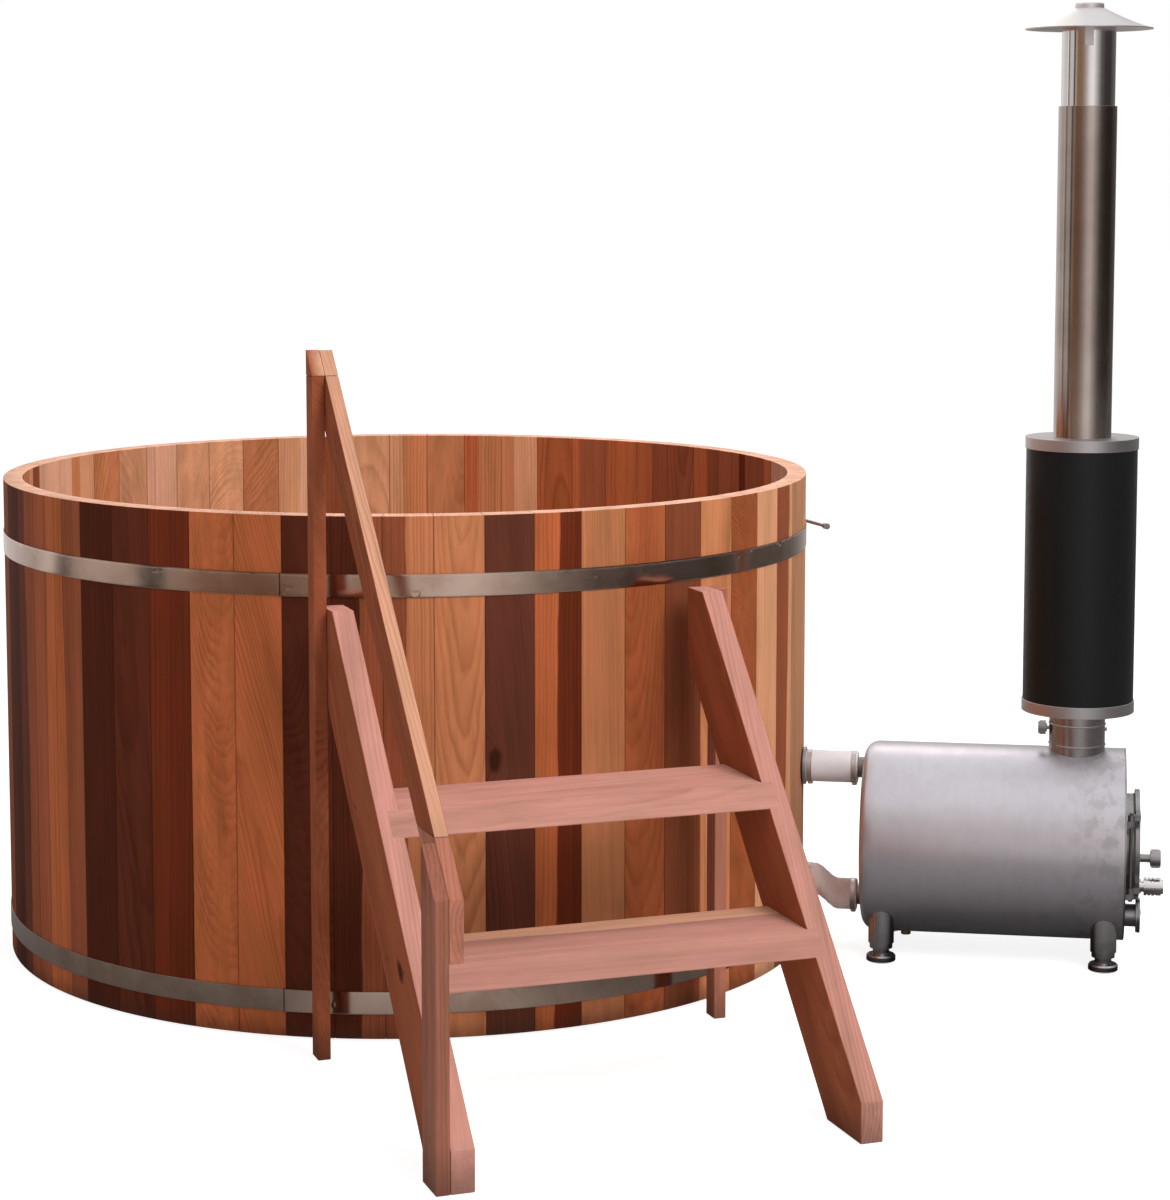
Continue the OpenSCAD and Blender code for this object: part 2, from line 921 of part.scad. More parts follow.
// A flat end with a rounded edge, closed towards -X, its open side at x = 0.
module dish(r, depth, edge_r) {
    rotate([0, -90, 0])
        rotate_extrude() {
            square([r - edge_r, depth]);
            square([r, depth - edge_r]);
            intersection() {
                translate([r - edge_r, depth - edge_r]) circle(r = edge_r);
                translate([r - edge_r, depth - edge_r]) square(edge_r);
            }
        }
}

module dished_end() {
    color(steel)
        difference() {
            translate([shell_x0, 0, stove_z])
                difference() {
                    dish(stove_r, dish_depth, dish_edge_r);
                    translate([0.01, 0, 0])
                        dish(stove_r - sheet_t, dish_depth - sheet_t, dish_edge_r - sheet_t);
                }
            for (z = [top_port_z, stove_port_z])
                x_rod(stove_x - 1, shell_x0 + 1, pipe_r + seat_gap, 0, z);
        }
}

module front_plate() {
    color(steel)
        at_axis()
            difference() {
                x_rod(plate_x0, stove_x1, stove_r);
                x_rod(plate_x0 - 1, stove_x1 + 1, frame_r - frame_t);
                x_rod(plate_x0 - 1, stove_x1 + 1, air_r + seat_gap, 0, -air_drop);
            }
}

module firebox() {
    color(dark_steel)
        difference() {
            at_axis() x_rod(firebox_x0, plate_x0, firebox_r);
            at_axis() x_rod(firebox_x0 + firebox_t, plate_x0 + 1, firebox_r - firebox_t);
            at_flue() translate([0, 0, stove_z]) cylinder(h = through, r = collar_r - flue_t);
        }
}

module stove_ports() {
    color(dark_steel)
        for (z = [top_port_z, stove_port_z])
            x_tube(stove_x - port_reach, stove_x + dish_edge_r, pipe_r, pipe_bore, 0, z);
}

// A cast grate: bars along the fire, held by a cross bar at each end.
module grate() {
    low = grate_drop + grate_bar;
    half = sqrt(sq(firebox_r - firebox_t) - sq(low)) - move_gap;
    x0 = firebox_x0 + firebox_t + 6;
    x1 = plate_x0 - 20;
    color("#3a3938")
        at_axis()
            translate([0, 0, -low]) {
                for (x = [x0, x1 - 2 * grate_bar])
                    block([x, -half, 0], [2 * grate_bar, 2 * half, grate_bar]);
                for (i = [0 : grate_n - 1]) {
                    y = -half + i * (2 * half - grate_bar) / (grate_n - 1);
                    block([x0, y, 0], [x1 - x0, grate_bar, grate_bar]);
                }
            }
}

// ---------------------------------------------------------------- stove door

door_x0 = stove_x1 + frame_out + move_gap + seal_t;
door_x1 = door_x0 + door_t;
hinge_x = stove_x1 + barrel_d / 2 + 3.5;
hinge_y = -door_d / 2 - barrel_d / 2;
pin_r = hinge_pin_d / 2;
HINGE_Z = [-hinge_span / 2, hinge_span / 2];

module door_frame() {
    lug_w = 14;
    lug_in = frame_r - frame_t - 6;
    color(dark_steel)
        at_axis() {
            x_tube(stove_x1, stove_x1 + frame_out, frame_r, frame_r - frame_t);
            intersection() {
                x_tube(stove_x1 + frame_out - 4, stove_x1 + frame_out, frame_r - 1, lug_in);
                block([stove_x1, -lug_w / 2, -frame_r], [frame_out, lug_w, frame_r]);
            }
        }
}

// One hinge barrel above or below the hinge's parting line.
module barrel(z, side) {
    start = side > 0 ? move_gap / 2 : -barrel_len - move_gap / 2;
    translate([hinge_x, hinge_y, z + start]) children();
}

module hinge_brackets() {
    color(steel)
        at_axis()
            for (z = HINGE_Z)
                barrel(z, -1)
                    difference() {
                        union() {
                            cylinder(h = barrel_len, d = barrel_d);
                            block([stove_x1 - hinge_x, -barrel_d / 2, 0],
                                [hinge_x - stove_x1, barrel_d, barrel_len]);
                        }
                        translate([0, 0, -1]) cylinder(h = barrel_len + 2, r = pin_r + run_gap);
                    }
}

module hinge_pin() {
    reach = hinge_span / 2 + barrel_len + 4;
    head = 2;
    color(dark_steel)
        at_axis()
            translate([hinge_x, hinge_y, -reach]) {
                cylinder(h = 2 * reach, r = pin_r);
                for (z = [0, 2 * reach - head]) translate([0, 0, z]) cylinder(h = head, r = pin_r + 1.5);
            }
}

module door() {
    color(steel)
        at_axis()
            difference() {
                union() {
                    x_rod(door_x0, door_x1, door_d / 2);
                    for (z = HINGE_Z) {
                        barrel(z, 1) {
                            cylinder(h = barrel_len, d = barrel_d);
                            block([0, -1, 0], [door_x1 - hinge_x, barrel_d / 2 + 1, barrel_len]);
                        }
                        block([door_x0, hinge_y - 1, z + move_gap / 2],
                            [door_t, -hinge_y - door_d / 4, barrel_len]);
                    }
                }
                for (z = HINGE_Z)
                    barrel(z, 1)
                        translate([0, 0, -1])
                            cylinder(h = barrel_len + 2, r = pin_r + run_gap);
                x_rod(door_x0 - 1, door_x1 + 1, latch_spindle_r + run_gap, 0, -latch_drop);
            }
}

module door_seal() {
    color("#8d8a84")
        at_axis() x_tube(door_x0 - seal_t, door_x0, frame_r + 1, frame_r - frame_t - 4);
}

// A round shape along +X from x0, given as steps of [length, radius].
module turned(x0, steps, y, z) {
    for (i = [0 : len(steps) - 1]) {
        before = [for (j = [0 : 1 : i - 1]) steps[j][0]];
        start = x0 + total(before);
        x_rod(start, start + steps[i][0], steps[i][1], y, z);
    }
}

function total(v, i = 0) = i >= len(v) ? 0 : v[i] + total(v, i + 1);

handle_drop = 31;

module door_handle() {
    head_r = handle_d / 2;
    color(steel)
        at_axis()
            turned(door_x1, [
                [handle_len * 0.06, head_r * 0.6],
                [handle_len * 0.46, head_r * 0.44],
                [handle_len * 0.05, head_r * 0.85],
                [handle_len * 0.38, head_r],
                [handle_len * 0.05, head_r * 0.9]
            ], 0, -handle_drop);
}

latch_spindle_r = 5;
tongue_len = 11;
tongue_t = 4;
tongue_x1 = stove_x1 + frame_out - 4 - move_gap;

// A ribbed knob on a spindle that goes through the door.
module latch_knob() {
    r = latch_d / 2;
    rib = latch_len / 9;
    color("#d5d6da")
        at_axis() {
            x_rod(tongue_x1 - tongue_t, door_x1 + 1, latch_spindle_r, 0, -latch_drop);
            turned(door_x1 + move_gap, [
                [rib, r * 0.8],
                [rib, r * 0.62],
                for (i = [0 : 2]) each [[rib, r], [rib * 0.4, r * 0.88]],
                [rib * 2, r * 0.96],
                [latch_len - 8.2 * rib, r * 0.8]
            ], 0, -latch_drop);
        }
}

// The bar inside the door that the knob turns behind the lug of the frame.
module latch_tongue() {
    color(dark_steel)
        at_axis()
            difference() {
                union() {
                    x_rod(tongue_x1 - tongue_t, tongue_x1, latch_spindle_r + 3, 0, -latch_drop);
                    block([tongue_x1 - tongue_t, 0, -latch_drop - 5], [tongue_t, tongue_len, 10]);
                }
                x_rod(tongue_x1 - tongue_t - 1, tongue_x1 + 1, latch_spindle_r, 0, -latch_drop);
            }
}

// ---------------------------------------------------------------- air intake

air_flange_t = 3;
air_x1 = stove_x1 + air_out;
cover_x0 = air_x1 + move_gap;
pivot_r = 3;
pivot_y = air_r + pivot_r + 0.5;

// The tube, its flange and the stud that carries the cover.
module air_tube() {
    color(steel)
        at_axis()
            translate([0, 0, -air_drop]) {
                x_tube(plate_x0, air_x1, air_r, air_r - sheet_t);
                x_tube(air_x1 - air_flange_t, air_x1, cover_d / 2 - 1, air_r - 0.5);
                x_rod(air_x1 - 1, cover_x0 + cover_t + move_gap, pivot_r, pivot_y);
                x_rod(cover_x0 + cover_t + move_gap, cover_x0 + cover_t + 3, pivot_r * 2, pivot_y);
            }
}

module air_cover() {
    color(steel)
        at_axis()
            translate([0, 0, -air_drop])
                difference() {
                    x_rod(cover_x0, cover_x0 + cover_t, cover_d / 2);
                    x_rod(cover_x0 - 1, cover_x0 + cover_t + 1, pivot_r + run_gap, pivot_y);
                }
}

// ---------------------------------------------------------------- feet

FOOT_AT = [
    [stove_x + foot_inset, -foot_track / 2],
    [stove_x + foot_inset + foot_span, -foot_track / 2],
    [stove_x + foot_inset + foot_span, foot_track / 2],
    [stove_x + foot_inset, foot_track / 2]
];
screw_in = 27;

module leg_sockets() {
    color(dark_steel)
        difference() {
            for (p = FOOT_AT)
                translate([p[0], p[1], socket_z])
                    cylinder(h = stove_z - socket_z - stove_r * 0.5, d = socket_d);
            at_axis() x_rod(stove_x, stove_x1, stove_r + seat_gap);
            for (p = FOOT_AT)
                translate([p[0], p[1], socket_z - 1])
                    cylinder(h = screw_in + 2, d = foot_screw_d + 2 * run_gap);
        }
}

// A levelling foot: a disc, a neck, a locking collar and its screw.
module foot(n) {
    collar_h = 11;
    edge = 3;
    neck_r = foot_screw_d / 2 + 3;
    color(steel)
        translate([FOOT_AT[n][0], FOOT_AT[n][1], 0]) {
            rotate_extrude()
                polygon([
                    [0, 0],
                    [foot_d / 2 - edge, 0],
                    [foot_d / 2, edge],
                    [foot_d / 2, foot_t - edge],
                    [foot_d / 2 - edge, foot_t],
                    [0, foot_t]
                ]);
            translate([0, 0, foot_t - 1]) cylinder(h = socket_z - foot_t - collar_h + 1, r = neck_r);
            translate([0, 0, socket_z - collar_h - move_gap])
                cylinder(h = collar_h, r = socket_d / 2 - 3);
            translate([0, 0, foot_t]) cylinder(h = socket_z - foot_t + screw_in, d = foot_screw_d);
        }
}

module foot_1() {
    foot(0);
}

module foot_2() {
    foot(1);
}

module foot_3() {
    foot(2);
}

module foot_4() {
    foot(3);
}

module stove_drain_plug() {
    boss_h = 4;
    head_z = stove_z - stove_r - boss_h;
    plug_head = 9;
    color("#a9884c")
        at_stove_drain() {
            translate([0, 0, head_z - plug_head - move_gap])
                cylinder(h = plug_head, r = boss_r - 1, $fn = 6);
            translate([0, 0, head_z - 1]) cylinder(h = boss_h + sheet_t + 1, r = plug_r - run_gap);
        }
}

// ---------------------------------------------------------------- chimney

low_flue_r = low_flue_d / 2;
top_flue_r = top_flue_d / 2;
collar_r = low_flue_r - flue_t - seat_gap;
collar_top = stove_z + stove_r + collar_h;
low_flue_top = collar_top + low_flue_len;
top_flue_top = low_flue_top + top_flue_len;
collar_in = 30;
shield_r = shield_d / 2;
ring_t = 3;
lip_t = 2;
shield_z0 = collar_top + 1 + ring_t;
shield_z1 = shield_z0 + shield_len;
damper_z = stove_z + stove_r + damper_up;

// Puts its children on the chimney's centre line, heights from the ground.
module at_flue() {
    translate([stove_x + flue_x, 0, 0]) children();
}

module flue_collar() {
    bead_r = 2.2;
    color(dark_steel)
        difference() {
            at_flue() {
                z_tube(stove_z, collar_top + collar_in, collar_r, collar_r - flue_t);
                for (z = [stove_z + stove_r + 12, damper_z + 12])
                    translate([0, 0, z])
                        rotate_extrude()
                            intersection() {
                                translate([collar_r - 0.5, 0]) circle(r = bead_r, $fn = 24);
                                translate([collar_r - flue_t / 2, -bead_r])
                                    square([2 * bead_r, 2 * bead_r]);
                            }
            }
            at_axis() x_rod(stove_x, stove_x1, firebox_r + seat_gap);
            at_flue()
                x_rod(-2 * collar_r, 2 * collar_r, spindle_d / 2 + run_gap, 0, damper_z);
        }
}

// The damper at rest stands upright in the flue, beside its spindle.
module damper_plate() {
    plate_t = 2;
    color(dark_steel)
        at_flue()
            translate([0, spindle_d / 2 + plate_t, damper_z])
                rotate([90, 0, 0])
                    cylinder(h = plate_t, r = collar_r - flue_t - 3);
}

module damper_spindle() {
    knob_r = damper_knob_d / 2;
    x0 = -collar_r - 4;
    color("#4b4646")
        at_flue()
            translate([0, 0, damper_z]) {
                x_rod(x0, collar_r + 4, spindle_d / 2);
                x_rod(x0 - 3, x0, knob_r * 0.6);
                x_rod(x0 - 17, x0 - 3, knob_r);
                x_rod(x0 - 20, x0 - 17, knob_r * 0.85);
            }
}

// A flat ring with a lip that holds one end of the shield.
module shield_ring() {
    z_tube(0, ring_t, shield_r + seat_gap + lip_t, low_flue_r + seat_gap);
    z_tube(0, ring_h, shield_r + seat_gap + lip_t, shield_r + seat_gap);
}

module shield_rings() {
    color("#a39e9e")
        at_flue() {
            translate([0, 0, shield_z0 - ring_t]) shield_ring();
            translate([0, 0, shield_z1 + ring_t]) mirror([0, 0, 1]) shield_ring();
        }
}

module heat_shield() {
    color("#17161a")
        at_flue() z_tube(shield_z0, shield_z1, shield_r, shield_r - sheet_t);
}

module lower_flue() {
    color(steel)
        at_flue() {
            z_tube(collar_top, low_flue_top, low_flue_r, low_flue_r - flue_t);
            z_tube(low_flue_top - flue_t, low_flue_top, low_flue_r, top_flue_r + seat_gap);
        }
}

module upper_flue() {
    color("#d8d6d6")
        at_flue()
            z_tube(low_flue_top - flue_overlap, top_flue_top, top_flue_r, top_flue_r - flue_t);
}

cap_z = top_flue_top - 4;
cap_boss = 11;

// Height of the cap's outer face above its brim at the radius r.
function cap_at(r) =
    (cap_h - cap_boss) * pow((cap_d / 2 - r) / (cap_d / 2 - cap_top_d / 2), 1.25);

module rain_cap() {
    steps = 8;
    cap_r = cap_d / 2;
    top_r = cap_top_d / 2;
    radii = [for (i = [0 : steps]) cap_r + (top_r - cap_r) * i / steps];
    strap_r = top_flue_r + seat_gap;
    strap_t = 3;
    strap_top = cap_at(strap_r + strap_t) - 0.2;
    color("#e3e2e4")
        at_flue()
            translate([0, 0, cap_z]) {
                rotate_extrude()
                    polygon(concat(
                        [for (r = radii) [r, cap_at(r)]],
                        [[top_r * 0.98, cap_h - 3]],
                        [[top_r * 0.8, cap_h]],
                        [[0, cap_h]],
                        [[0, cap_h - cap_boss - sheet_t]],
                        [for (i = [steps : -1 : 0]) [radii[i], cap_at(radii[i]) - sheet_t]]
                    ));
                for (a = [30, 150, 270])
                    rotate([0, 0, a])
                        block([strap_r, -9, -38], [strap_t, 18, 38 + strap_top]);
            }
}

// ---------------------------------------------------------------- pieces

staves(0);  // staves_dark
staves(1);  // staves_red
staves(2);  // staves_orange
staves(3);  // staves_light
hoops();
tension_rods();
rod_nuts();
floor_bearers();
floor_boards();
bench_supports();
bench_seats();
drain_fitting();
drain_locknut();
drain_plug();
wall_fittings();
wall_seals();
wall_locknuts();
water_grilles();
upper_hose();
lower_hose();
hose_clamps();
left_stringer();
right_stringer();
treads();
tall_post();
back_leg();
front_post();
handrail();
stair_screws();
stove_jacket();
dished_end();
front_plate();
firebox();
stove_ports();
grate();
door_frame();
hinge_brackets();
hinge_pin();
door();
door_seal();
door_handle();
latch_knob();
latch_tongue();
air_tube();
air_cover();
leg_sockets();
foot_1();
foot_2();
foot_3();
foot_4();
stove_drain_plug();
flue_collar();
damper_plate();
damper_spindle();
shield_rings();
heat_shield();
lower_flue();
upper_flue();
rain_cap();
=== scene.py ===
"""Looks of the wooden hot tub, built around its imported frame."""

import json
import math

import bmesh
import bpy
import numpy as np
from mathutils import Matrix, Vector

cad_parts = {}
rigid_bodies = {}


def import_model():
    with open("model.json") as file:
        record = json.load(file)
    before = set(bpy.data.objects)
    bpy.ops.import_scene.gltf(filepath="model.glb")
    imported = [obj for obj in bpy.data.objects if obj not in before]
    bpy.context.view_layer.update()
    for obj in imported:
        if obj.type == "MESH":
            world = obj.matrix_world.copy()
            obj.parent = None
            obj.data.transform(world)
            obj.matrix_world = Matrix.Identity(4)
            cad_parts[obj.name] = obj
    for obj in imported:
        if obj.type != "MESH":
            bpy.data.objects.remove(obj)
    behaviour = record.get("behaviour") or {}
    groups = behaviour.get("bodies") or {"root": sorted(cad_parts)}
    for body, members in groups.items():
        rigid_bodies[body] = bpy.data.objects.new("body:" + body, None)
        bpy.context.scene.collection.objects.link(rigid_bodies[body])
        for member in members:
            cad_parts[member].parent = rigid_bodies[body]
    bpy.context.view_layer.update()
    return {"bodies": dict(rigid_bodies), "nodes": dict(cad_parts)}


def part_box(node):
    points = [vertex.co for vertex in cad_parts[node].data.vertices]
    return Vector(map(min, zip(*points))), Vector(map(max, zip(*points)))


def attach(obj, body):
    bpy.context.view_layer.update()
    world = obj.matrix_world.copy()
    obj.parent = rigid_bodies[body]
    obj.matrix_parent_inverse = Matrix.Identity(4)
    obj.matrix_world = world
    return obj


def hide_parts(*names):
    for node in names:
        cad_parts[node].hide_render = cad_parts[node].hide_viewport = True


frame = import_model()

bl_info = {
    "name": "Wooden hot tub",
    "version": (1, 0, 0),
    "blender": (4, 5, 0),
    "location": "View3D > Sidebar > Hot tub",
    "description": "Staves, hoops, stair, hoses, stove and chimney of a wooden hot tub",
    "category": "Object",
}


def heights(node):
    """The heights of a node's foot and head, from the frame."""
    low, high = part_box(node)
    return low[2], high[2]


# ---------------------------------------------------------------- sizes, in metres and degrees

# Directions round the tub, from +X, where the stove stands.
STAIR_TURN = 29.0
HOOP_JOINT = 29.0
LAP_AT = 266.6
BENCHES_AT = (59, 119, 179)
STRAPS_AT = (30, 150, 270)

# The tub.
STAVE_COUNT = 56
STAVE_STEP = 360.0 / STAVE_COUNT
TUB_R = 0.900
BORE_R = 0.858
TUB_LOW, TUB_TOP = heights("staves_dark")
FLOOR_LOW, FLOOR_TOP = heights("floor_boards")
FLOOR_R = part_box("floor_boards")[1][0]
GROOVE = 0.013
# The play between two boards.
FIT = 0.0003
PORT_BORE = 0.0232
PORT_HIGH, PORT_LOW, PORT_STOVE = 0.402, 0.145, 0.113
DRAIN_X, DRAIN_BORE = -0.280, 0.0262
BOARD_W, BEARERS_X, BEARER_W = 0.143, (-0.560, 0.0, 0.560), 0.070
BENCH_IN, BENCH_OUT, BENCH_MIDDLE, BENCH_GAP = 0.484, 0.854, 0.66, 0.010
BENCH_LEG_IN, BENCH_LEG_OUT, BENCH_LEG_T = 0.544, 0.824, 0.040

# The hoops.
HOOP_IN, HOOP_OUT, HOOP_W = 0.9002, 0.9022, 0.046
HOOP_GAP, HOOP_BEND, HOOP_TIP = 0.037, 0.004, 0.9402

# The stair, measured outwards from the tub's middle.
STAIR_SHIFT = -0.029
STAIR_BACK, STAIR_FRONT, STAIR_TOP, MIDDLE_OUT = 0.888, 1.730, 0.888, 1.31
HALF_W, PLANK, SLAT, STRINGER_W = 0.359, 0.044, 0.026, 0.157
TOE, SLOPE = 0.076, 0.94
BACK_POST_W, FRONT_POST_W = 0.044, 0.080
TREAD_TOPS, TREAD_T, TREAD_DEPTH, TREAD_IN, TREAD_PROUD = (0.331, 0.563), 0.044, 0.188, 0.0237, 0.0005
RAIL_Z, RAIL_SLOPE, RAIL_DEEP, RAIL_HEAD, RAIL_FOOT = 0.509, 1.04, 0.112, 0.049, 0.088
BOARD_GAP = 0.0004

# Stove, hoses and chimney.
STOVE_Z, DISH_X, STOVE_END = 0.250, 1.040, 1.617
HOSE_R, OLD_HOSE_R, HOSE_STEPS = 0.035, 0.0346, 81
CLAMPS_MIDDLE = (0.9177, 1.0165)
CLAMP_IN, CLAMP_OUT, CLAMP_W = 0.0352, 0.0362, 0.011
SEAL_R, SEAL_HALF_W = 0.107, 0.005
FLUE_X, SHEET = 1.505, 0.002
LOWER_FLUE_R, UPPER_FLUE_R, SHIELD_R, RIM_R = 0.0625, 0.0575, 0.120, 0.1222
CAP_R, CAP_KNOB_R = 0.136, 0.031

ROUND_STEPS = 3
UP = (0, 0, 1)


# ---------------------------------------------------------------- settings


def colour_property(name, description, default):
    """A colour that a user can change."""
    return bpy.props.FloatVectorProperty(
        name=name, description=description, default=default,
        subtype="COLOR", size=3, min=0.0, max=1.0,
    )


def length_property(name, description, default):
    """A length that a user can change, in metres."""
    return bpy.props.FloatProperty(
        name=name, description=description, default=default,
        unit="LENGTH", min=0.0, precision=4,
    )


def power_property(name, description, default):
    """A lamp's power that a user can change, in watts."""
    return bpy.props.FloatProperty(
        name=name, description=description, default=default, unit="POWER", min=0.0,
    )


def share_property(name, description, default):
    """A plain factor that a user can change."""
    return bpy.props.FloatProperty(
        name=name, description=description, default=default,
        subtype="FACTOR", min=0.0, max=1.0,
    )


class CedarSettings(bpy.types.PropertyGroup):
    """Colours and figure of the oiled cedar."""

    plum: colour_property("Plum", "Purple brown heartwood", (0.120, 0.036, 0.022))
    umber: colour_property("Umber", "Darkest heartwood", (0.075, 0.018, 0.009))
    oxblood: colour_property("Oxblood", "Dark red heartwood", (0.130, 0.025, 0.010))
    rust: colour_property("Rust", "Red brown heartwood", (0.262, 0.074, 0.034))
    ginger: colour_property("Ginger", "Orange wood", (0.410, 0.112, 0.041))
    honey: colour_property("Honey", "Light orange wood", (0.490, 0.185, 0.082))
    tan: colour_property("Tan", "Light tan wood", (0.560, 0.270, 0.145))
    blush: colour_property("Blush", "Pale pink sapwood", (0.640, 0.345, 0.225))
    # The pale tone on the tops of the staves is a painted highlight of the light from above on their end
    # grain.
    sawn: colour_property("Sawn", "Pale sawn tops of the staves", (0.700, 0.400, 0.290))
    clay: colour_property("Clay", "Brown red of the stair's posts", (0.325, 0.127, 0.084))
    salmon: colour_property("Salmon", "Pinkish wood of the stair", (0.415, 0.197, 0.157))
    ring_gap: length_property("Ring spacing", "Distance between growth rings", 0.0085)
    edge_round: length_property("Edge round", "Rounding of the edges of the boards", 0.002)
    stave_round: length_property("Stave round", "Rounding of the edges of the staves", 0.0013)


class MetalSettings(bpy.types.PropertyGroup):
    """Colours and gloss of the metals and plastics."""

    bright: colour_property("Bright steel", "Brushed stainless steel", (0.62, 0.60, 0.62))
    satin: colour_property("Satin steel", "The stove's skin", (0.61, 0.58, 0.63))
    hoop: colour_property("Hoop steel", "Warm grey of the hoops", (0.52, 0.385, 0.32))
    flue: colour_property("Flue steel", "Heat-browned lower flue", (0.48, 0.415, 0.38))
    collar: colour_property("Collar steel", "The flue's collar", (0.40, 0.375, 0.375))
    clamp: colour_property("Clamp steel", "The hose clamps", (0.66, 0.62, 0.60))
    dull: colour_property("Dull steel", "Plain stainless steel", (0.30, 0.285, 0.275))
    polished: colour_property("Polished steel", "Mirror stainless steel", (0.78, 0.76, 0.76))
    enamel: colour_property("Enamel", "Black heat enamel", (0.008, 0.008, 0.009))
    cast: colour_property("Cast iron", "Black cast iron", (0.035, 0.034, 0.034))
    brass: colour_property("Brass", "Plain brass", (0.60, 0.40, 0.15))
    rubber: colour_property("Rubber", "Black rubber", (0.020, 0.020, 0.021))
    hose: colour_property("Hose", "Cream hose", (0.66, 0.64, 0.66))
    old_hose: colour_property("Lower hose", "Brown grey hose", (0.68, 0.53, 0.50))
    cord: colour_property("Seal cord", "Woven glass cord", (0.30, 0.29, 0.27))
    gloss: share_property("Brushed roughness", "Roughness of brushed steel", 0.34)


class StudioSettings(bpy.types.PropertyGroup):
    """Lamps, world and floor."""

    key: power_property("Key lamp", "Power of the large lamp", 330.0)
    fill: power_property("Fill lamp", "Power of the lamp on the left", 24.0)
    top: power_property("Top lamp", "Power of the lamp above", 165.0)
    ambient: share_property("Ambient", "Strength of the light from all round", 0.44)
    floor: share_property("Floor", "How much of the floor's white is its own", 0.86)


def settings(name):
    """One group of settings of the scene."""
    return getattr(bpy.context.scene, "hot_tub_" + name)


# ---------------------------------------------------------------- shapes


def grid_faces(rows, cols, start, close_rows, close_cols):
    """Quads of a grid: corner (i, j) joins (i, j+1), (i+1, j+1) and (i+1, j), with the last row or
    column joined to the first where it is closed."""
    i = np.arange(rows if close_rows else rows - 1)[:, None]
    j = np.arange(cols if close_cols else cols - 1)[None, :]
    i2, j2 = (i + 1) % rows, (j + 1) % cols
    quads = np.stack([i * cols + j, i * cols + j2, i2 * cols + j2, i2 * cols + j], -1)
    return (quads.reshape(-1, 4) + start).tolist()


class Parts:
    """Grids and caps that become one mesh, each with the number of its board."""

    def __init__(self):
        self.points, self.faces, self.boards, self.count = [], [], [], 0

    def add(self, grid, board=0, close_rows=False, close_cols=True, caps=True):
        """Adds a grid of points, rows by columns by 3. Caps close its first and last row."""
        rows, cols = grid.shape[:2]
        self.faces += grid_faces(rows, cols, self.count, close_rows, close_cols)
        if caps and not close_rows:
            first = list(range(self.count, self.count + cols))
            self.faces += [first[::-1], [v + (rows - 1) * cols for v in first]]
        self.points.append(grid.reshape(-1, 3))
        self.boards.append(np.full(rows * cols, board))
        self.count += rows * cols
        return self

    def mesh(self, name):
        """The mesh, with the number of its board on each vertex."""
        made = bpy.data.meshes.new(name)
        made.from_pydata(np.concatenate(self.points).tolist(), [], self.faces)
        layer = made.attributes.new("board", "INT", "POINT")
        layer.data.foreach_set("value", np.concatenate(self.boards).astype(np.int32))
        made.validate()
        made.update()
        return made


def linked(name, data):
    """A new object in the scene."""
    obj = bpy.data.objects.new(name, data)
    bpy.context.scene.collection.objects.link(obj)
    return obj


def piece(name, mesh, node, finish, body="tub", weld=False):
    """Finishes one piece: smooth faces with sharp edges, its material and its body, and hides the
    node that it stands for. A welded one has its doubles merged and its faces turned outwards."""
    if weld:
        work = bmesh.new()
        work.from_mesh(mesh)
        bmesh.ops.remove_doubles(work, verts=work.verts, dist=1e-6)
        bmesh.ops.recalc_face_normals(work, faces=work.faces)
        work.to_mesh(mesh)
        work.free()
    obj = linked(name, mesh)
    mesh.shade_smooth()
    mesh.set_sharp_from_angle(angle=math.radians(38.0))
    obj.modifiers.new("even", "WEIGHTED_NORMAL").keep_sharp = True
    mesh.materials.clear()
    mesh.materials.append(FINISHES[finish])
    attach(obj, body)
    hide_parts(node)
    return obj


def arc(start, end, steps):
    """Angles from start to end in degrees, as radians."""
    return np.radians(np.linspace(start, end, steps))


def whole_turn(steps, first=0):
    """Angles all round, as radians, without the last, which is the first again."""
    return np.linspace(first, first + 2 * math.pi, steps, endpoint=False)


def ray(degrees):
    """The direction outwards from the tub's middle."""
    a = math.radians(degrees)
    return np.array([math.cos(a), math.sin(a), 0])


def beside(out):
    """The direction round the tub, at right angles to an outward one."""
    return (-out[1], out[0], 0)


def block(x0, x1, y0, y1):
    """The outline of a rectangle."""
    return [(x0, y0), (x1, y0), (x1, y1), (x0, y1)]


def squarish(values, power):
    """Each value's size to a power, with its own sign: what squares a circle into a superellipse."""
    return np.sign(values) * np.abs(values) ** power


def soften(outline, radius, steps=ROUND_STEPS, least=14.0):
    """Rounds the corners of an outline. Each corner P that turns by more than the least angle becomes
    the curve (1-t)^2 A + 2t(1-t) P + t^2 B, where A and B lie on its two sides at the radius times
    the tangent of half the turn."""
    p = np.asarray(outline, float)
    back = np.roll(p, 1, 0) - p
    ahead = np.roll(p, -1, 0) - p
    length_back = np.linalg.norm(back, axis=1, keepdims=True)
    length_ahead = np.linalg.norm(ahead, axis=1, keepdims=True)
    back, ahead = back / length_back, ahead / length_ahead
    turn = math.pi - np.arccos(np.clip((back * ahead).sum(1), -1, 1))
    start = np.where(np.degrees(turn) > least, radius * np.tan(turn / 2), 0)[:, None]
    start = np.minimum(start, 0.4 * np.minimum(length_back, length_ahead))
    t = np.linspace(0, 1, steps + 1)[None, :, None]
    a, b = (p + back * start)[:, None], (p + ahead * start)[:, None]
    curve = (1 - t) ** 2 * a + 2 * t * (1 - t) * p[:, None] + t ** 2 * b
    curve = curve.reshape(-1, 2)
    apart = np.linalg.norm(curve - np.roll(curve, 1, 0), axis=1) > 1e-7
    return curve[apart]


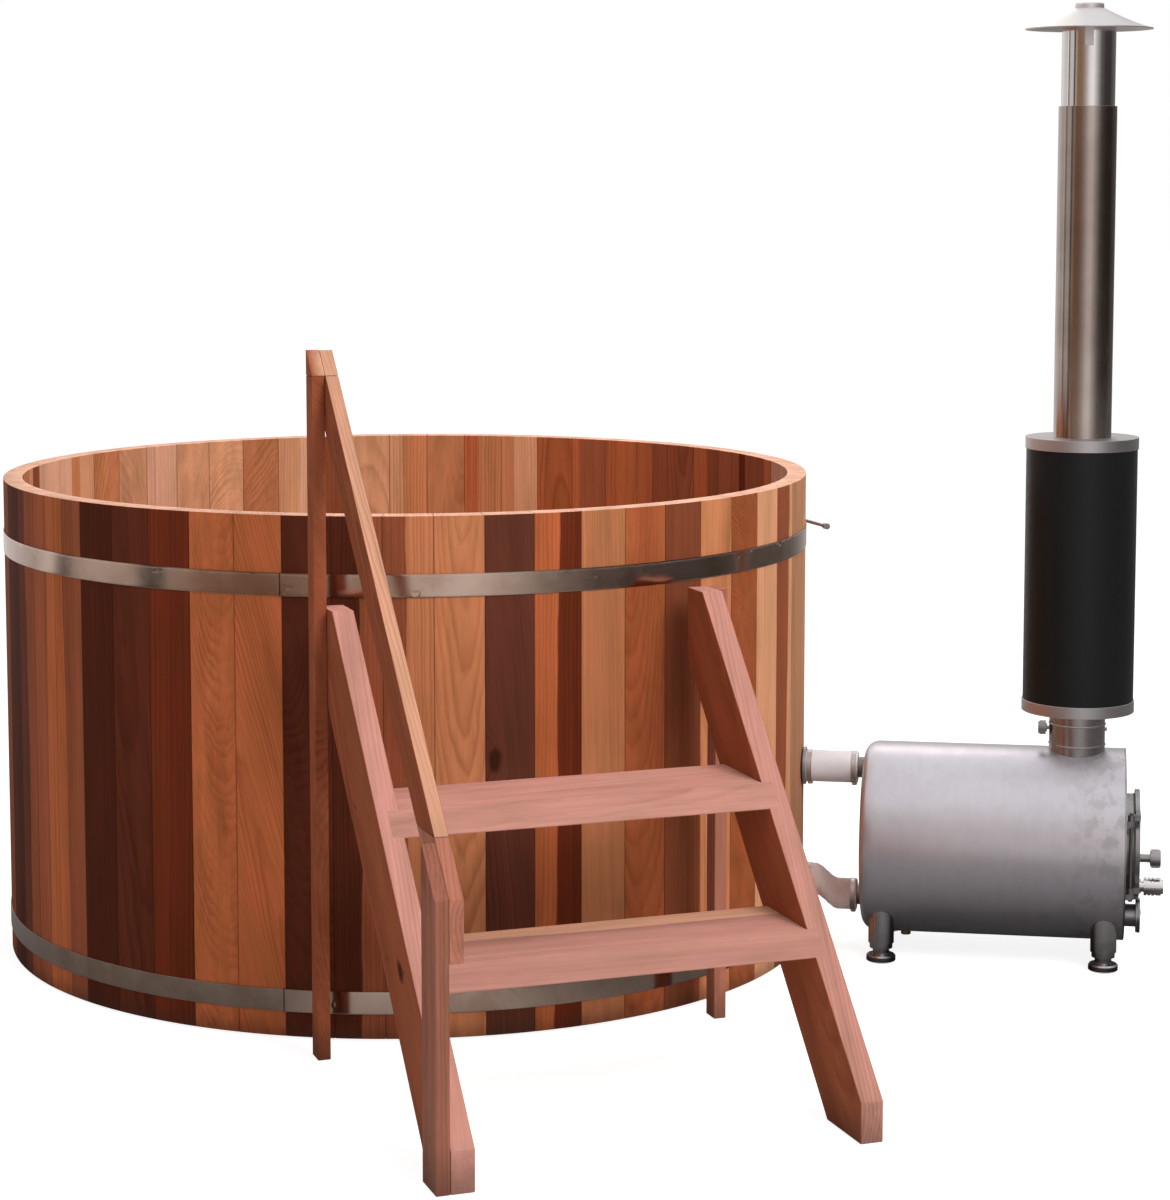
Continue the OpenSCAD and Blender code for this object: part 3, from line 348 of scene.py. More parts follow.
def drawn_in(outline, depth):
    """The outline moved inwards by depth, along the mean of the normals of its two sides, divided by
    the cosine of half the turn."""
    ahead = np.roll(outline, -1, 0) - outline
    ahead /= np.linalg.norm(ahead, axis=1, keepdims=True)
    side = np.stack([-ahead[:, 1], ahead[:, 0]], 1)
    mean = side + np.roll(side, 1, 0)
    return outline + depth * 2 * mean / (mean * mean).sum(1, keepdims=True)


def at_height(outline, z):
    """A flat outline at the height z."""
    return np.column_stack([outline, np.full(len(outline), z)])


def rounding(radius):
    """How far an edge's rings are drawn in, and how high they lie: r(1 - sin t) and r(1 - cos t)."""
    t = np.linspace(0, math.pi / 2, ROUND_STEPS + 1)
    return radius * (1 - np.sin(t)), radius * (1 - np.cos(t))


def prism(outline, low, high, radius):
    """A board with rounded edges: rings of the outline, drawn in towards each end."""
    soft = soften(outline, radius)
    inset, rise = rounding(radius)
    levels = [*zip(inset, low + rise), *zip(inset[::-1], high - rise[::-1])]
    return np.array([at_height(drawn_in(soft, depth), z) for depth, z in levels])


def turned(points, degrees, move=(0, 0, 0)):
    """Points moved, then turned about Z."""
    a = math.radians(degrees)
    turn = np.array([[math.cos(a), -math.sin(a), 0], [math.sin(a), math.cos(a), 0], [0, 0, 1]])
    return (points + np.asarray(move)) @ turn.T


def lathe(profile, centre, axis="Z", steps=128):
    """A profile of (radius, height) points carried round an axis: x = r cos a, y = r sin a."""
    p, a = np.asarray(profile, float), whole_turn(steps)
    grid = np.stack([
        p[:, 0, None] * np.cos(a), p[:, 0, None] * np.sin(a), np.repeat(p[:, 1, None], steps, 1),
    ], -1)
    if axis == "X":
        grid = grid[..., [2, 0, 1]]
    return grid + np.asarray(centre)


def sweep(path, normals, section):
    """A section of (across, up) points for each point of a path in plan: point = path + across x
    normal, raised by up."""
    flat = path[:, None, :] + section[..., :1] * normals[:, None, :]
    return np.concatenate([flat, section[..., 1:]], -1)


def vertices(mesh):
    """The places of a mesh's vertices."""
    points = np.empty(len(mesh.vertices) * 3, np.float32)
    mesh.vertices.foreach_get("co", points)
    return points.reshape(-1, 3).astype(float)


LAYERS = {1: ("FLOAT", "value"), 3: ("FLOAT_VECTOR", "vector"), 4: ("FLOAT_COLOR", "color")}


def put_attributes(mesh, **layers):
    """Writes point attributes, as numbers, vectors or colours by the width of their values."""
    for name, values in layers.items():
        kind, field = LAYERS[1 if values.ndim == 1 else values.shape[1]]
        layer = mesh.attributes.new(name, kind, "POINT")
        layer.data.foreach_set(field, np.ascontiguousarray(values, np.float32).ravel())


# ---------------------------------------------------------------- shader helpers


class Value:
    """A node's output. Sums, differences, products and quotients of values are Math nodes."""

    def __init__(self, shader, socket):
        self.shader, self.socket = shader, socket

    def __add__(self, other):
        return self.shader.math("ADD", self, other)

    def __sub__(self, other):
        return self.shader.math("SUBTRACT", self, other)

    def __mul__(self, other):
        return self.shader.math("MULTIPLY", self, other)

    def __truediv__(self, other):
        return self.shader.math("DIVIDE", self, other)

    def centred(self, amount):
        """(value - 0.5) x amount."""
        return (self - 0.5) * amount


class Shader:
    """Adds nodes to a material, or to a world, and joins them."""

    def __init__(self, name, rough=0.5, metallic=0.0, specular=0.5, world=None):
        if world:
            self.tree = world.node_tree
            self.output = self.tree.nodes["World Output"]
            return
        self.material = bpy.data.materials.new(name)
        self.material.use_nodes = True
        self.tree = self.material.node_tree
        self.output = self.tree.nodes["Material Output"]
        self.surface = self.tree.nodes["Principled BSDF"]
        self.put(self.surface, "Roughness", rough)
        self.put(self.surface, "Metallic", metallic)
        self.put(self.surface, "Specular IOR Level", specular)

    def put(self, node, key, value):
        """Sets a socket to a value, or joins it to another socket."""
        socket = node.inputs[key]
        if isinstance(value, Value):
            self.tree.links.new(value.socket, socket)
        elif socket.type == "RGBA":
            socket.default_value = (*value, 1)
        else:
            socket.default_value = value

    def node(self, kind, inputs=(), out=0, **options):
        """A node with its options and inputs, given by number or name. Returns one output."""
        made = self.tree.nodes.new("ShaderNode" + kind)
        for key, value in options.items():
            setattr(made, key, value)
        for key, value in dict(inputs).items():
            self.put(made, key, value)
        return Value(self, made.outputs[out])

    def math(self, operation, a, b=0.0):
        """One step of arithmetic."""
        return self.node("Math", {0: a, 1: b}, operation=operation)

    def vector(self, operation, a, b=(0, 0, 0), out=0):
        """One step of vector arithmetic."""
        return self.node("VectorMath", {0: a, 1: b}, out, operation=operation)

    def parts(self, vector):
        """The x, y and z of a vector."""
        made = self.node("SeparateXYZ", {0: vector}).socket.node
        return [Value(self, out) for out in made.outputs]

    def noise(self, vector, scale, detail=2.0, roughness=0.5):
        """Smooth noise around 0.5, at one scale or at one for each axis."""
        if isinstance(scale, tuple):
            vector, scale = self.vector("MULTIPLY", vector, scale), 1.0
        return self.node("TexNoise", {
            "Vector": vector, "Scale": scale, "Detail": detail, "Roughness": roughness,
        })

    def map(self, value, low, high, to_low=0.0, to_high=1.0):
        """Carries one range smoothly to another, clamped."""
        return self.node(
            "MapRange", {0: value, 1: low, 2: high, 3: to_low, 4: to_high},
            interpolation_type="SMOOTHSTEP",
        )

    def mix(self, factor, a, b, blend="MIX"):
        """Mixes two colours."""
        return self.node("Mix", {0: factor, 6: a, 7: b}, out=2, data_type="RGBA", blend_type=blend)

    def lit(self, colour, value, hue=0.5):
        """A colour times a value, with its hue moved where it isn't 0.5."""
        return self.node("HueSaturation", {"Hue": hue, "Value": value, "Color": colour})

    def ramp(self, value, stops):
        """A grey ramp with (place, grey) stops."""
        out = self.node("ValToRGB", {0: value})
        elements = out.socket.node.color_ramp.elements
        while len(elements) < len(stops):
            elements.new(0.5)
        for element, (place, grey) in zip(elements, stops):
            element.position = place
            element.color = (grey, grey, grey, 1)
        return out

    def attribute(self, name, out="Vector"):
        """An attribute of the mesh."""
        return self.node("Attribute", out=out, attribute_name=name)

    def object_place(self):
        """Object coordinates, which are the frame's metres."""
        return self.node("TexCoord", out="Object")

    def show(self, value):
        """Joins a shader to the output."""
        self.tree.links.new(value.socket, self.output.inputs[0])

    def finish(self, colour, rough, height, strength, distance, normal=None):
        """Joins colour, roughness and bump to the surface."""
        bump = self.node("Bump", {"Strength": strength, "Distance": distance, "Height": height})
        if normal:
            self.put(bump.socket.node, "Normal", normal)
        self.put(self.surface, "Base Color", colour)
        self.put(self.surface, "Roughness", rough)
        self.put(self.surface, "Normal", bump)
        return self.material


# ---------------------------------------------------------------- finishes


def cedar(name, ring_gap, damp_to=0.045):
    """Oiled cedar. The growth rings are the distance from the pith, bent by two slow noises and
    pushed aside by knots, and cut into bands; late wood is darker and redder. Streaks and soft clouds
    run along the board, heartwood changes to the second tone at its own distance, the joints between
    staves darken it, partly as painted shade of their gap, and the ground darkens it."""
    s = Shader(name, rough=0.56, specular=0.015)
    grain = s.attribute("grain")
    x, y, _ = s.parts(grain)

    slow = s.noise(grain, (6, 6, 0.9)).centred(0.026)
    quick = s.noise(grain, (26, 26, 7.0), detail=3).centred(0.0100)
    far = s.math("SQRT", x * x + y * y) + (slow + quick)
    knot_far = s.vector("LENGTH", s.attribute("knot"), out=1)
    knot_far += s.noise(grain, (70, 70, 45)).centred(0.010)
    far += s.map(knot_far, 0.0, 0.055, 0.030, 0.0)
    years = s.node("TexNoise", {"W": far, "Scale": 45.0, "Detail": 1.0}, noise_dimensions="1D")
    rings = s.math("FRACT", (far + years.centred(0.012)) / ring_gap)
    late = s.ramp(rings, [(0.0, 0.0), (0.35, 0.15), (0.82, 1.0), (1.0, 0.0)])
    late *= s.map(s.noise(grain, (8, 8, 0.7), detail=1), 0.30, 0.70, 0.12, 1.0)

    band = s.noise(grain, (17, 17, 0.5), detail=3, roughness=0.6)
    cloud = s.noise(grain, (22, 22, 6.0), detail=3, roughness=0.6)
    streak = s.noise(grain, (150, 150, 3.0), detail=4, roughness=0.62)
    pores = s.noise(grain, (1400, 1400, 45), detail=1)
    light = band.centred(0.80) + cloud.centred(0.55) + (streak.centred(0.40) + pores.centred(0.12)) + 1.04

    heart = s.map(far + band.centred(0.006) - s.attribute("heart", "Fac"), -0.0015, 0.0015)
    base = s.mix(heart, s.attribute("tone", "Color"), s.attribute("second_tone", "Color"))
    wood = s.mix(late * 0.50, base, s.mix(1.0, base, (0.52, 0.40, 0.33), "MULTIPLY"))
    wood = s.mix(s.map(knot_far, 0.007, 0.018, 0.85, 0.0), wood, (0.026, 0.009, 0.005))
    wood = s.lit(wood, light, cloud.centred(-0.022) + 0.5)
    # Darker along the joints between staves: partly a dark joint, partly painted shade of the narrow gap.
    wood = s.mix(s.attribute("seam", "Fac") * 0.32, wood, (0.020, 0.007, 0.004))
    height = s.parts(s.object_place())[2] + s.noise(grain, (30, 30, 14), detail=4).centred(0.05)
    wood = s.mix(s.map(height, 0.0, damp_to, 0.48, 0.0), wood, (0.055, 0.030, 0.022))

    rough = s.map(streak, 0.3, 0.7, 0.48, 0.62) + late * 0.08
    relief = streak * 0.6 + pores * 0.5 - late * 0.5
    return s.finish(wood, rough, relief, strength=0.22, distance=0.0006)


def tinted(colour, tint):
    """A colour times a tint."""
    return tuple(c * t for c, t in zip(colour, tint))


def steel(name, colour, rough, brush, blotch=0.25, relief=0.12, tint=(0.80, 0.76, 0.70), spread=6.0,
          lines=0.10, dents=0.0, seams=False):
    """Steel with fine brush lines: noise stretched along the brush direction changes gloss and
    height, slow noise darkens and tints it in soft patches, and dents are the peaks of a third
    noise. Where asked, a dark line runs along the lap of a hoop: painted shadow of the step where the
    band's end lies on itself."""
    s = Shader(name, rough=rough, metallic=1.0)
    place = s.object_place()
    line = s.noise(place, brush, detail=3, roughness=0.7)
    fine = s.noise(place, tuple(3.3 * v for v in brush), detail=1)
    patch = s.noise(place, spread, detail=4, roughness=0.6)
    spots = s.noise(place, spread * 9, detail=3, roughness=0.7)
    base = s.mix(s.map(patch, 0.40, 0.72, 0.0, blotch), colour, tinted(colour, tint))
    base = s.lit(base, line.centred(lines) + spots.centred(0.10) + 1.0)
    # A dark line along the lap of a hoop: painted shadow of the step where the band's end lies on itself.
    if seams:
        base = s.mix(s.attribute("seam", "Fac") * 0.85, base, (0.03, 0.02, 0.016))
    gloss = line.centred(lines) + spots.centred(0.08) + rough
    height = (line + fine) * relief
    if dents:
        height -= s.map(s.noise(place, 34, detail=1), 0.64, 0.76) * dents
    return s.finish(base, gloss, height, strength=1.0, distance=0.0003)


def satin(name, colour, rough, end, soft_edge=False):
    """The stove's satin skin: even steel with soft mottling, which grows into clouds of dull stain
    towards the hot end, and faint upright drag marks. A soft edge is shaded as if its bend were
    tighter: the normal leans towards the direction away from the stove's axis."""
    s = Shader(name, rough=rough, metallic=0.90)
    place = s.object_place()
    along = s.parts(place)[0]
    drag = s.noise(place, (130, 7, 7), detail=3, roughness=0.65)
    wide = s.noise(place, 5, detail=3)
    clouds = s.noise(place, (34, 26, 26), detail=4, roughness=0.58)
    stain = s.map(clouds, 0.44, 0.62, 0.0, 0.40) * s.map(along, end - 0.17, end - 0.04, 0.20, 1.0)
    base = s.mix(stain, colour, tinted(colour, (0.55, 0.57, 0.50)))
    base = s.lit(base, wide.centred(0.10) + drag.centred(0.08) + 1.0)
    gloss = wide.centred(0.06) + stain * 0.2 + rough
    normal = None
    if soft_edge:
        away = s.vector("MULTIPLY", s.vector("SUBTRACT", place, (0, 0, STOVE_Z)), (0, 1, 1))
        away = s.vector("NORMALIZE", away)
        share = s.map(along, DISH_X + 0.001, DISH_X + 0.014, 0.0, 0.8)
        own = s.node("NewGeometry", out="Normal")
        normal = s.node("Mix", {0: share, 4: own, 5: away}, out=1, data_type="VECTOR")
    return s.finish(base, gloss, drag, strength=0.10, distance=0.0002, normal=normal)


def plain(name, colour, rough, grain_scale, variation=0.15, strength=0.25, metallic=0.0, specular=0.5):
    """Rubber, enamel, plastic and cast iron: an even colour with fine mottling, and relief from
    noise at the given scale."""
    s = Shader(name, rough, metallic, specular)
    place = s.object_place()
    grain = s.noise(place, grain_scale, detail=4, roughness=0.65)
    patch = s.noise(place, grain_scale / 12, detail=3)
    base = s.lit(colour, grain.centred(variation) + patch.centred(variation * 1.6) + 1.0)
    return s.finish(base, patch.centred(0.25) + rough, grain, strength=strength, distance=0.0006)


FINISHES = {}


def make_finishes():
    """All the materials, by name."""
    c, m = settings("cedar"), settings("metal")

    def grey(share):
        return tuple(share * v for v in m.bright)

    cedars = {"cedar_" + tone: {} for tone in ("dark", "red", "orange", "light")}
    cedars["cedar_plain"] = dict(damp_to=0.10)
    steels = {
        "brushed_steel": dict(colour=grey(0.85), rough=m.gloss, brush=(60, 60, 420)),
        "ring_steel": dict(
            colour=grey(0.95), rough=0.42, brush=(90, 90, 400), blotch=0.3, relief=0.03, lines=0.05),
        "flue_steel": dict(
            colour=m.flue, rough=0.16, brush=(90, 90, 2.2), blotch=0.6, relief=0.03,
            tint=(0.62, 0.55, 0.50), spread=3.5, lines=0.06),
        "collar_steel": dict(
            colour=m.collar, rough=0.24, brush=(90, 90, 3), blotch=0.3, relief=0.04,
            tint=(0.60, 0.50, 0.40), spread=14.0, lines=0.06),
        "hoop_steel": dict(
            colour=m.hoop, rough=0.145, brush=(3, 3, 90), blotch=0.9, relief=0.03,
            tint=(0.74, 0.66, 0.56), spread=7.0, lines=0.05, dents=0.8, seams=True),
        "clamp_steel": dict(colour=m.clamp, rough=0.42, brush=(300, 300, 300), blotch=0.3, spread=40.0),
        "dull_steel": dict(
            colour=m.dull, rough=0.38, brush=(120, 120, 120), blotch=0.6, tint=(0.7, 0.6, 0.5),
            spread=30.0),
        "leg_steel": dict(
            colour=grey(0.86), rough=0.22, brush=(60, 60, 6), blotch=0.4, relief=0.04,
            tint=(0.55, 0.50, 0.46), spread=24.0),
        "door_steel": dict(
            colour=grey(0.62), rough=0.30, brush=(20, 160, 160), blotch=0.8, relief=0.06,
            tint=(0.66, 0.58, 0.52), spread=22.0),
        "polished_steel": dict(
            colour=m.polished, rough=0.10, brush=(5, 5, 90), blotch=0.3, relief=0.01, lines=0.03),
        "cap_steel": dict(
            colour=m.polished, rough=0.46, brush=(5, 5, 90), blotch=0.3, relief=0.02, lines=0.03),
        "brass": dict(colour=m.brass, rough=0.32, brush=(90, 90, 90), blotch=0.6, spread=60.0),
    }
    satins = {
        "stove_steel": dict(colour=m.satin, rough=0.34, end=STOVE_END),
        "end_steel": dict(colour=m.satin, rough=0.36, end=3.0, soft_edge=True),
    }
    plains = {
        "black_enamel": dict(
            colour=m.enamel, rough=0.40, grain_scale=900, strength=0.10, specular=0.22),
        "cast_iron": dict(
            colour=m.cast, rough=0.62, grain_scale=420, variation=0.5, strength=0.5, metallic=0.6),
        "black_rubber": dict(colour=m.rubber, rough=0.55, grain_scale=700, variation=0.3),
        "hose_light": dict(
            colour=m.hose, rough=0.46, grain_scale=260, variation=0.10, strength=0.15),
        "hose_dull": dict(
            colour=m.old_hose, rough=0.58, grain_scale=200, variation=0.35, strength=0.3),
        "seal_cord": dict(
            colour=m.cord, rough=0.9, grain_scale=500, variation=0.5, strength=0.6),
    }
    for name, look in cedars.items():
        FINISHES[name] = cedar(name, c.ring_gap, **look)
    for make, group in ((steel, steels), (satin, satins), (plain, plains)):
        for name, look in group.items():
            FINISHES[name] = make(name, **look)


def give(nodes_of):
    """Gives carried-over nodes one of the finishes each, by finish."""
    for finish, nodes in nodes_of.items():
        for node in nodes:
            mesh = frame["nodes"][node].data
            mesh.materials.clear()
            mesh.materials.append(FINISHES[finish])


# ---------------------------------------------------------------- boards


def board_grain(points, look, rng):
    """Places points in the tree: x across the board and y through it, both from the pith, whose line
    leans as the board goes on, and z along it, moved by a random length. Also gives the points in the
    board's own directions and the distance of the pith to its side."""
    along = np.asarray(look["along"], float) / np.linalg.norm(look["along"])
    across = np.asarray(look["across"], float)
    across = across - along * (across @ along)
    across /= np.linalg.norm(across)
    local = (points - np.asarray(look["origin"])) @ np.stack([across, np.cross(along, across), along], 1)
    kind = look.get("cut") or ("flat", "flat", "quarter")[rng.integers(3)]
    side = rng.choice((-1, 1))
    if kind == "flat":
        pith = np.array([rng.uniform(-0.03, 0.03), rng.uniform(0.05, 0.13) * side])
        lean = np.array([rng.uniform(-0.02, 0.02), rng.uniform(-0.09, 0.09)])
    else:
        pith = np.array([side * rng.uniform(0.22, 0.32), rng.uniform(-0.06, 0.06)])
        lean = np.array([rng.uniform(-0.02, 0.02), rng.uniform(-0.03, 0.03)])
    tree = local.copy()
    tree[:, :2] += local[:, 2:] * (lean + look.get("tilt", (0, 0))) - pith
    tree[:, 2] += rng.uniform(0, 40)
    return tree * look.get("fine", 1.0), local, abs(pith[0])


def wooden(mesh, looks, seed):
    """Gives each board of a mesh its grain, tones and knot. A look says where the board lies and how
    its wood runs (origin, along, across) and its tone. It may have a shade, which multiplies the tone:
    partly the board's own lighter or darker wood, and partly painted light and shade, where a board was
    set brighter or darker to stand in for how the light falls on it. It may also have a face (the tone,
    half thickness and shade of its broad sides, partly darker heartwood and partly painted shade of
    those sides), a second tone beyond a split, a cut, a tilt of the rings, a fineness of the grain, a
    knot at (across, along), and, for a stave, its number. A stave is darkened along its joints, partly
    as painted shade of the gap, and its top takes a pale tone that is a painted highlight."""
    c = settings("cedar")

    def wood(name):
        return np.array(getattr(c, name))

    points = vertices(mesh)
    count = len(points)
    number = np.empty(count, np.int32)
    mesh.attributes["board"].data.foreach_get("value", number)
    grain, knot = np.zeros((count, 3)), np.full((count, 3), 9.0)
    tone, second = np.ones((count, 4)), np.ones((count, 4))
    heart, seam = np.full(count, 9.0), np.zeros(count)
    for i, look in looks.items():
        own = number == i
        rng = np.random.default_rng(seed * 1000 + i)
        grain[own], local, pith_side = board_grain(points[own], look, rng)
        shade = look.get("shade", 1 + rng.uniform(-0.10, 0.10))
        tone[own, :3] = wood(look["tone"]) * shade
        second[own, :3] = wood(look.get("second", look["tone"])) * shade
        if "face" in look:
            name, half, factor = look["face"]
            wide = np.clip((np.abs(local[:, 1]) - half + 0.0018) / 0.0012, 0, 1)[:, None]
            tone[own, :3] += (wood(name) * factor - tone[own, :3]) * wide
        if "split" in look:
            heart[own] = pith_side + look["split"]
        if "knot" in look:
            x, z = look["knot"]
            knot[own] = (local - np.array([x, 0, z])) * np.array([1, 0, 0.55])
        if "stave" in look:
            # How near the side of the stave each point lies, for the dark joint, partly painted shade of the
            # gap; and whether it is on the top, whose pale tone is a painted highlight.
            turn = np.degrees(np.arctan2(points[own, 1], points[own, 0])) - i * STAVE_STEP
            turn = (turn + 180) % 360 - 180
            side = np.radians(STAVE_STEP / 2 - np.abs(turn)) * TUB_R
            seam[own] = np.clip(1.25 - side / 0.0016, 0, 1)
            top = np.clip((points[own, 2] - TUB_TOP + 0.0012) / 0.0008, 0, 1)[:, None]
            for tones in (tone, second):
                tones[own, :3] += (wood("sawn") - tones[own, :3]) * top
    put_attributes(mesh, grain=grain, knot=knot, tone=tone, second_tone=second, heart=heart, seam=seam)


def cedar_piece(name, node, boards, seed, closed=()):
    """One piece of plain cedar from its boards, each given as its grid and its look. The grids whose
    numbers are in closed join their last row to their first."""
    parts = Parts()
    for number, (grid, _) in enumerate(boards):
        parts.add(grid, number, close_rows=number in closed)
    mesh = parts.mesh(node)
    wooden(mesh, {number: look for number, (_, look) in enumerate(boards)}, seed)
    piece(name, mesh, node, "cedar_plain")


# ---------------------------------------------------------------- staves

# The staves by number round the tub from the stove: the group of their node, their tone, their cut
# and what else is known of their wood. A cut of None is left to chance. Their shades are partly the
# wood's own tone and partly painted light and shade: staves were set brighter or darker to stand in
# for how the light falls on them.
STAVES = (
    # 0
    ("orange", "tan", "quarter", dict(shade=0.88)),
    ("red", "tan", "quarter", dict()),
    ("light", "blush", "quarter", dict()),
    ("orange", "blush", "flat", dict()),
    ("dark", "rust", "quarter", dict(second="ginger", split=0.01, shade=1.15)),
    ("orange", "rust", "quarter", dict(second="oxblood", split=0.02, shade=1.1)),
    ("light", "rust", "flat", dict(shade=1.2)),
    ("red", "rust", "quarter", dict(second="ginger", split=-0.01, shade=1.15)),
    ("orange", "rust", "flat", dict(shade=1.2)),
    ("dark", "ginger", "quarter", dict(second="rust", split=0.0, shade=1.12)),
    # 10
    ("light", "ginger", "flat", dict(shade=1.1)),
    ("red", "ginger", "quarter", dict(second="rust", split=-0.02, shade=1.25)),
    ("orange", "ginger", "flat", dict(shade=1.02)),
    ("light", "tan", "quarter", dict(second="honey", split=0.01, shade=1.22)),
    ("orange", "honey", "quarter", dict(second="ginger", split=0.012, shade=1.2)),
    ("orange", "honey", "flat", dict(shade=1.0, tilt=(0.1, 0.15))),
    ("light", "honey", "quarter", dict(second="tan", split=0.015, shade=1.15)),
    ("orange", "tan", "flat", dict(shade=1.15)),
    ("red", "rust", "quarter", dict()),
    ("light", "tan", "quarter", dict(second="blush", split=0.0, shade=1.1)),
    # 20
    ("red", "honey", "flat", dict(tilt=(0.15, 0.25), fine=1.6)),
    ("orange", "tan", "flat", dict(shade=1.18, tilt=(0.12, 0.2), fine=1.8)),
    ("orange", "tan", "flat", dict(shade=1.1, tilt=(0.02, 0.22), fine=2.0)),
    ("light", "blush", "quarter", dict(shade=1.05)),
    ("orange", "tan", "flat", dict(tilt=(-0.08, 0.2), fine=1.6)),
    ("red", "honey", "flat", dict(tilt=(0.1, 0.15), fine=1.5)),
    ("red", "tan", "quarter", dict(second="honey", split=0.01)),
    ("orange", "blush", "quarter", dict(shade=1.1)),
    ("light", "blush", "quarter", dict(shade=1.1)),
    ("dark", "tan", "quarter", dict(second="rust", split=0.0)),
    # 30
    ("orange", "honey", "quarter", dict()),
    ("red", "rust", None, dict()),
    ("orange", "rust", "quarter", dict()),
    ("light", "plum", "quarter", dict(shade=0.7)),
    ("dark", "plum", "quarter", dict(second="rust", split=0.0, shade=1.0)),
    ("orange", "rust", "quarter", dict(second="ginger", split=0.012, shade=1.15)),
    ("red", "ginger", "quarter", dict(second="rust", split=-0.012, shade=1.05)),
    ("dark", "umber", "quarter", dict(shade=1.0)),
    ("red", "oxblood", "flat", dict(second="umber", split=-0.02, shade=1.4, tilt=(0.1, 0.1), fine=1.4)),
    ("red", "oxblood", "quarter", dict(shade=1.15)),
    # 40
    ("orange", "ginger", "flat", dict(shade=1.08, tilt=(0.0, 0.17), fine=2.3)),
    ("orange", "ginger", "flat", dict(shade=1.1, tilt=(0.25, 0.12), fine=1.3)),
    ("dark", "umber", "flat", dict(shade=1.1, tilt=(0.15, 0.2), fine=1.6)),
    ("dark", "umber", "quarter", dict(second="rust", split=0.01, shade=1.05)),
    ("red", "honey", "quarter", dict(second="rust", split=0.004, shade=0.95)),
    ("light", "honey", "flat", dict(shade=1.02, tilt=(0.0, 0.06))),
    ("dark", "plum", "quarter", dict(shade=0.92, tilt=(0.06, 0.05), knot=(-0.031, 0.062))),
    ("red", "ginger", "quarter", dict(second="oxblood", split=-0.002, shade=1.0)),
    ("light", "honey", "quarter", dict(shade=0.84)),
    ("orange", "ginger", "flat", dict(shade=0.84, tilt=(0.04, 0.1))),
    # 50
    ("red", "rust", "quarter", dict(shade=0.7, fine=1.4)),
    ("light", "honey", "flat", dict(shade=0.95)),
    ("red", "rust", "flat", dict(second="ginger", split=0.01, shade=0.68, tilt=(0.35, 0.4), fine=1.5)),
    ("light", "tan", "quarter", dict(shade=1.03)),
    ("red", "rust", "quarter", dict(second="tan", split=0.02, shade=1.0)),
    ("light", "tan", "quarter", dict(shade=0.8)),
)


def stave_grid(number, radius):
    """One stave: its plan outline, two arcs with rounded corners, carried up from ring to ring; the
    ends are drawn in, and in the groove the inner arc lies deeper."""
    half = STAVE_STEP / 2 - math.degrees(FIT / 2 / TUB_R)
    inside = half - math.degrees(2 * radius / TUB_R)
    around = np.radians(np.concatenate([[-half], np.linspace(-inside, inside, 7), [half]]))
    circle = np.stack([np.cos(around), np.sin(around)], 1)

    def ring(z, inset, deeper=0.0):
        loop = np.concatenate([TUB_R * circle, (BORE_R + deeper) * circle[::-1]])
        return at_height(drawn_in(soften(loop, radius, least=30.0), inset), z)

    inset, rise = rounding(radius)
    low, high = FLOOR_LOW - FIT, FLOOR_TOP + FIT
    rings = [ring(TUB_LOW + z, depth) for depth, z in zip(inset, rise)]
    rings += [ring(low, 0), ring(low, 0, GROOVE), ring(high, 0, GROOVE), ring(high, 0)]
    rings += [ring(TUB_TOP - z, depth) for depth, z in zip(inset[::-1], rise[::-1])]
    return turned(np.array(rings), number * STAVE_STEP)


def stave_look(number):
    """The place and look of one stave's wood."""
    out = ray(number * STAVE_STEP)
    _, tone, kind, wood = STAVES[number]
    return dict(
        wood, tone=tone, cut=kind, stave=number, along=UP, across=beside(out),
        origin=out * (TUB_R + BORE_R) / 2 + np.array([0, 0, 0.5]))


def drilled(mesh, height):
    """The first stave's mesh with a round hole through it. Its points that nearly touch are joined
    first, because the cut needs a closed solid."""
    work = bmesh.new()
    work.from_mesh(mesh)
    bmesh.ops.remove_doubles(work, verts=work.verts, dist=2e-5)
    work.to_mesh(mesh)
    work.free()
    rod = bpy.data.meshes.new("rod")
    work = bmesh.new()
    bmesh.ops.create_cone(
        work, cap_ends=True, segments=64, radius1=PORT_BORE, radius2=PORT_BORE, depth=0.1)
    work.to_mesh(rod)
    work.free()
    turn = Vector(UP).rotation_difference(Vector((1, 0, 0))).to_matrix().to_4x4()
    rod.transform(Matrix.Translation((TUB_R - 0.02, 0, height)) @ turn)
    body, drill = linked("body", mesh), linked("drill", rod)
    hole = body.modifiers.new("hole", "BOOLEAN")
    hole.object, hole.operation, hole.solver = drill, "DIFFERENCE", "EXACT"
    seen = bpy.context.evaluated_depsgraph_get()
    made = bpy.data.meshes.new_from_object(body.evaluated_get(seen))
    if len(made.vertices) <= len(mesh.vertices):
        raise RuntimeError("the hole could not be cut")
    for obj in (body, drill):
        bpy.data.objects.remove(obj)
    bpy.data.meshes.remove(rod)
    made.attributes["board"].data.foreach_set("value", np.zeros(len(made.vertices), np.int32))
    return made


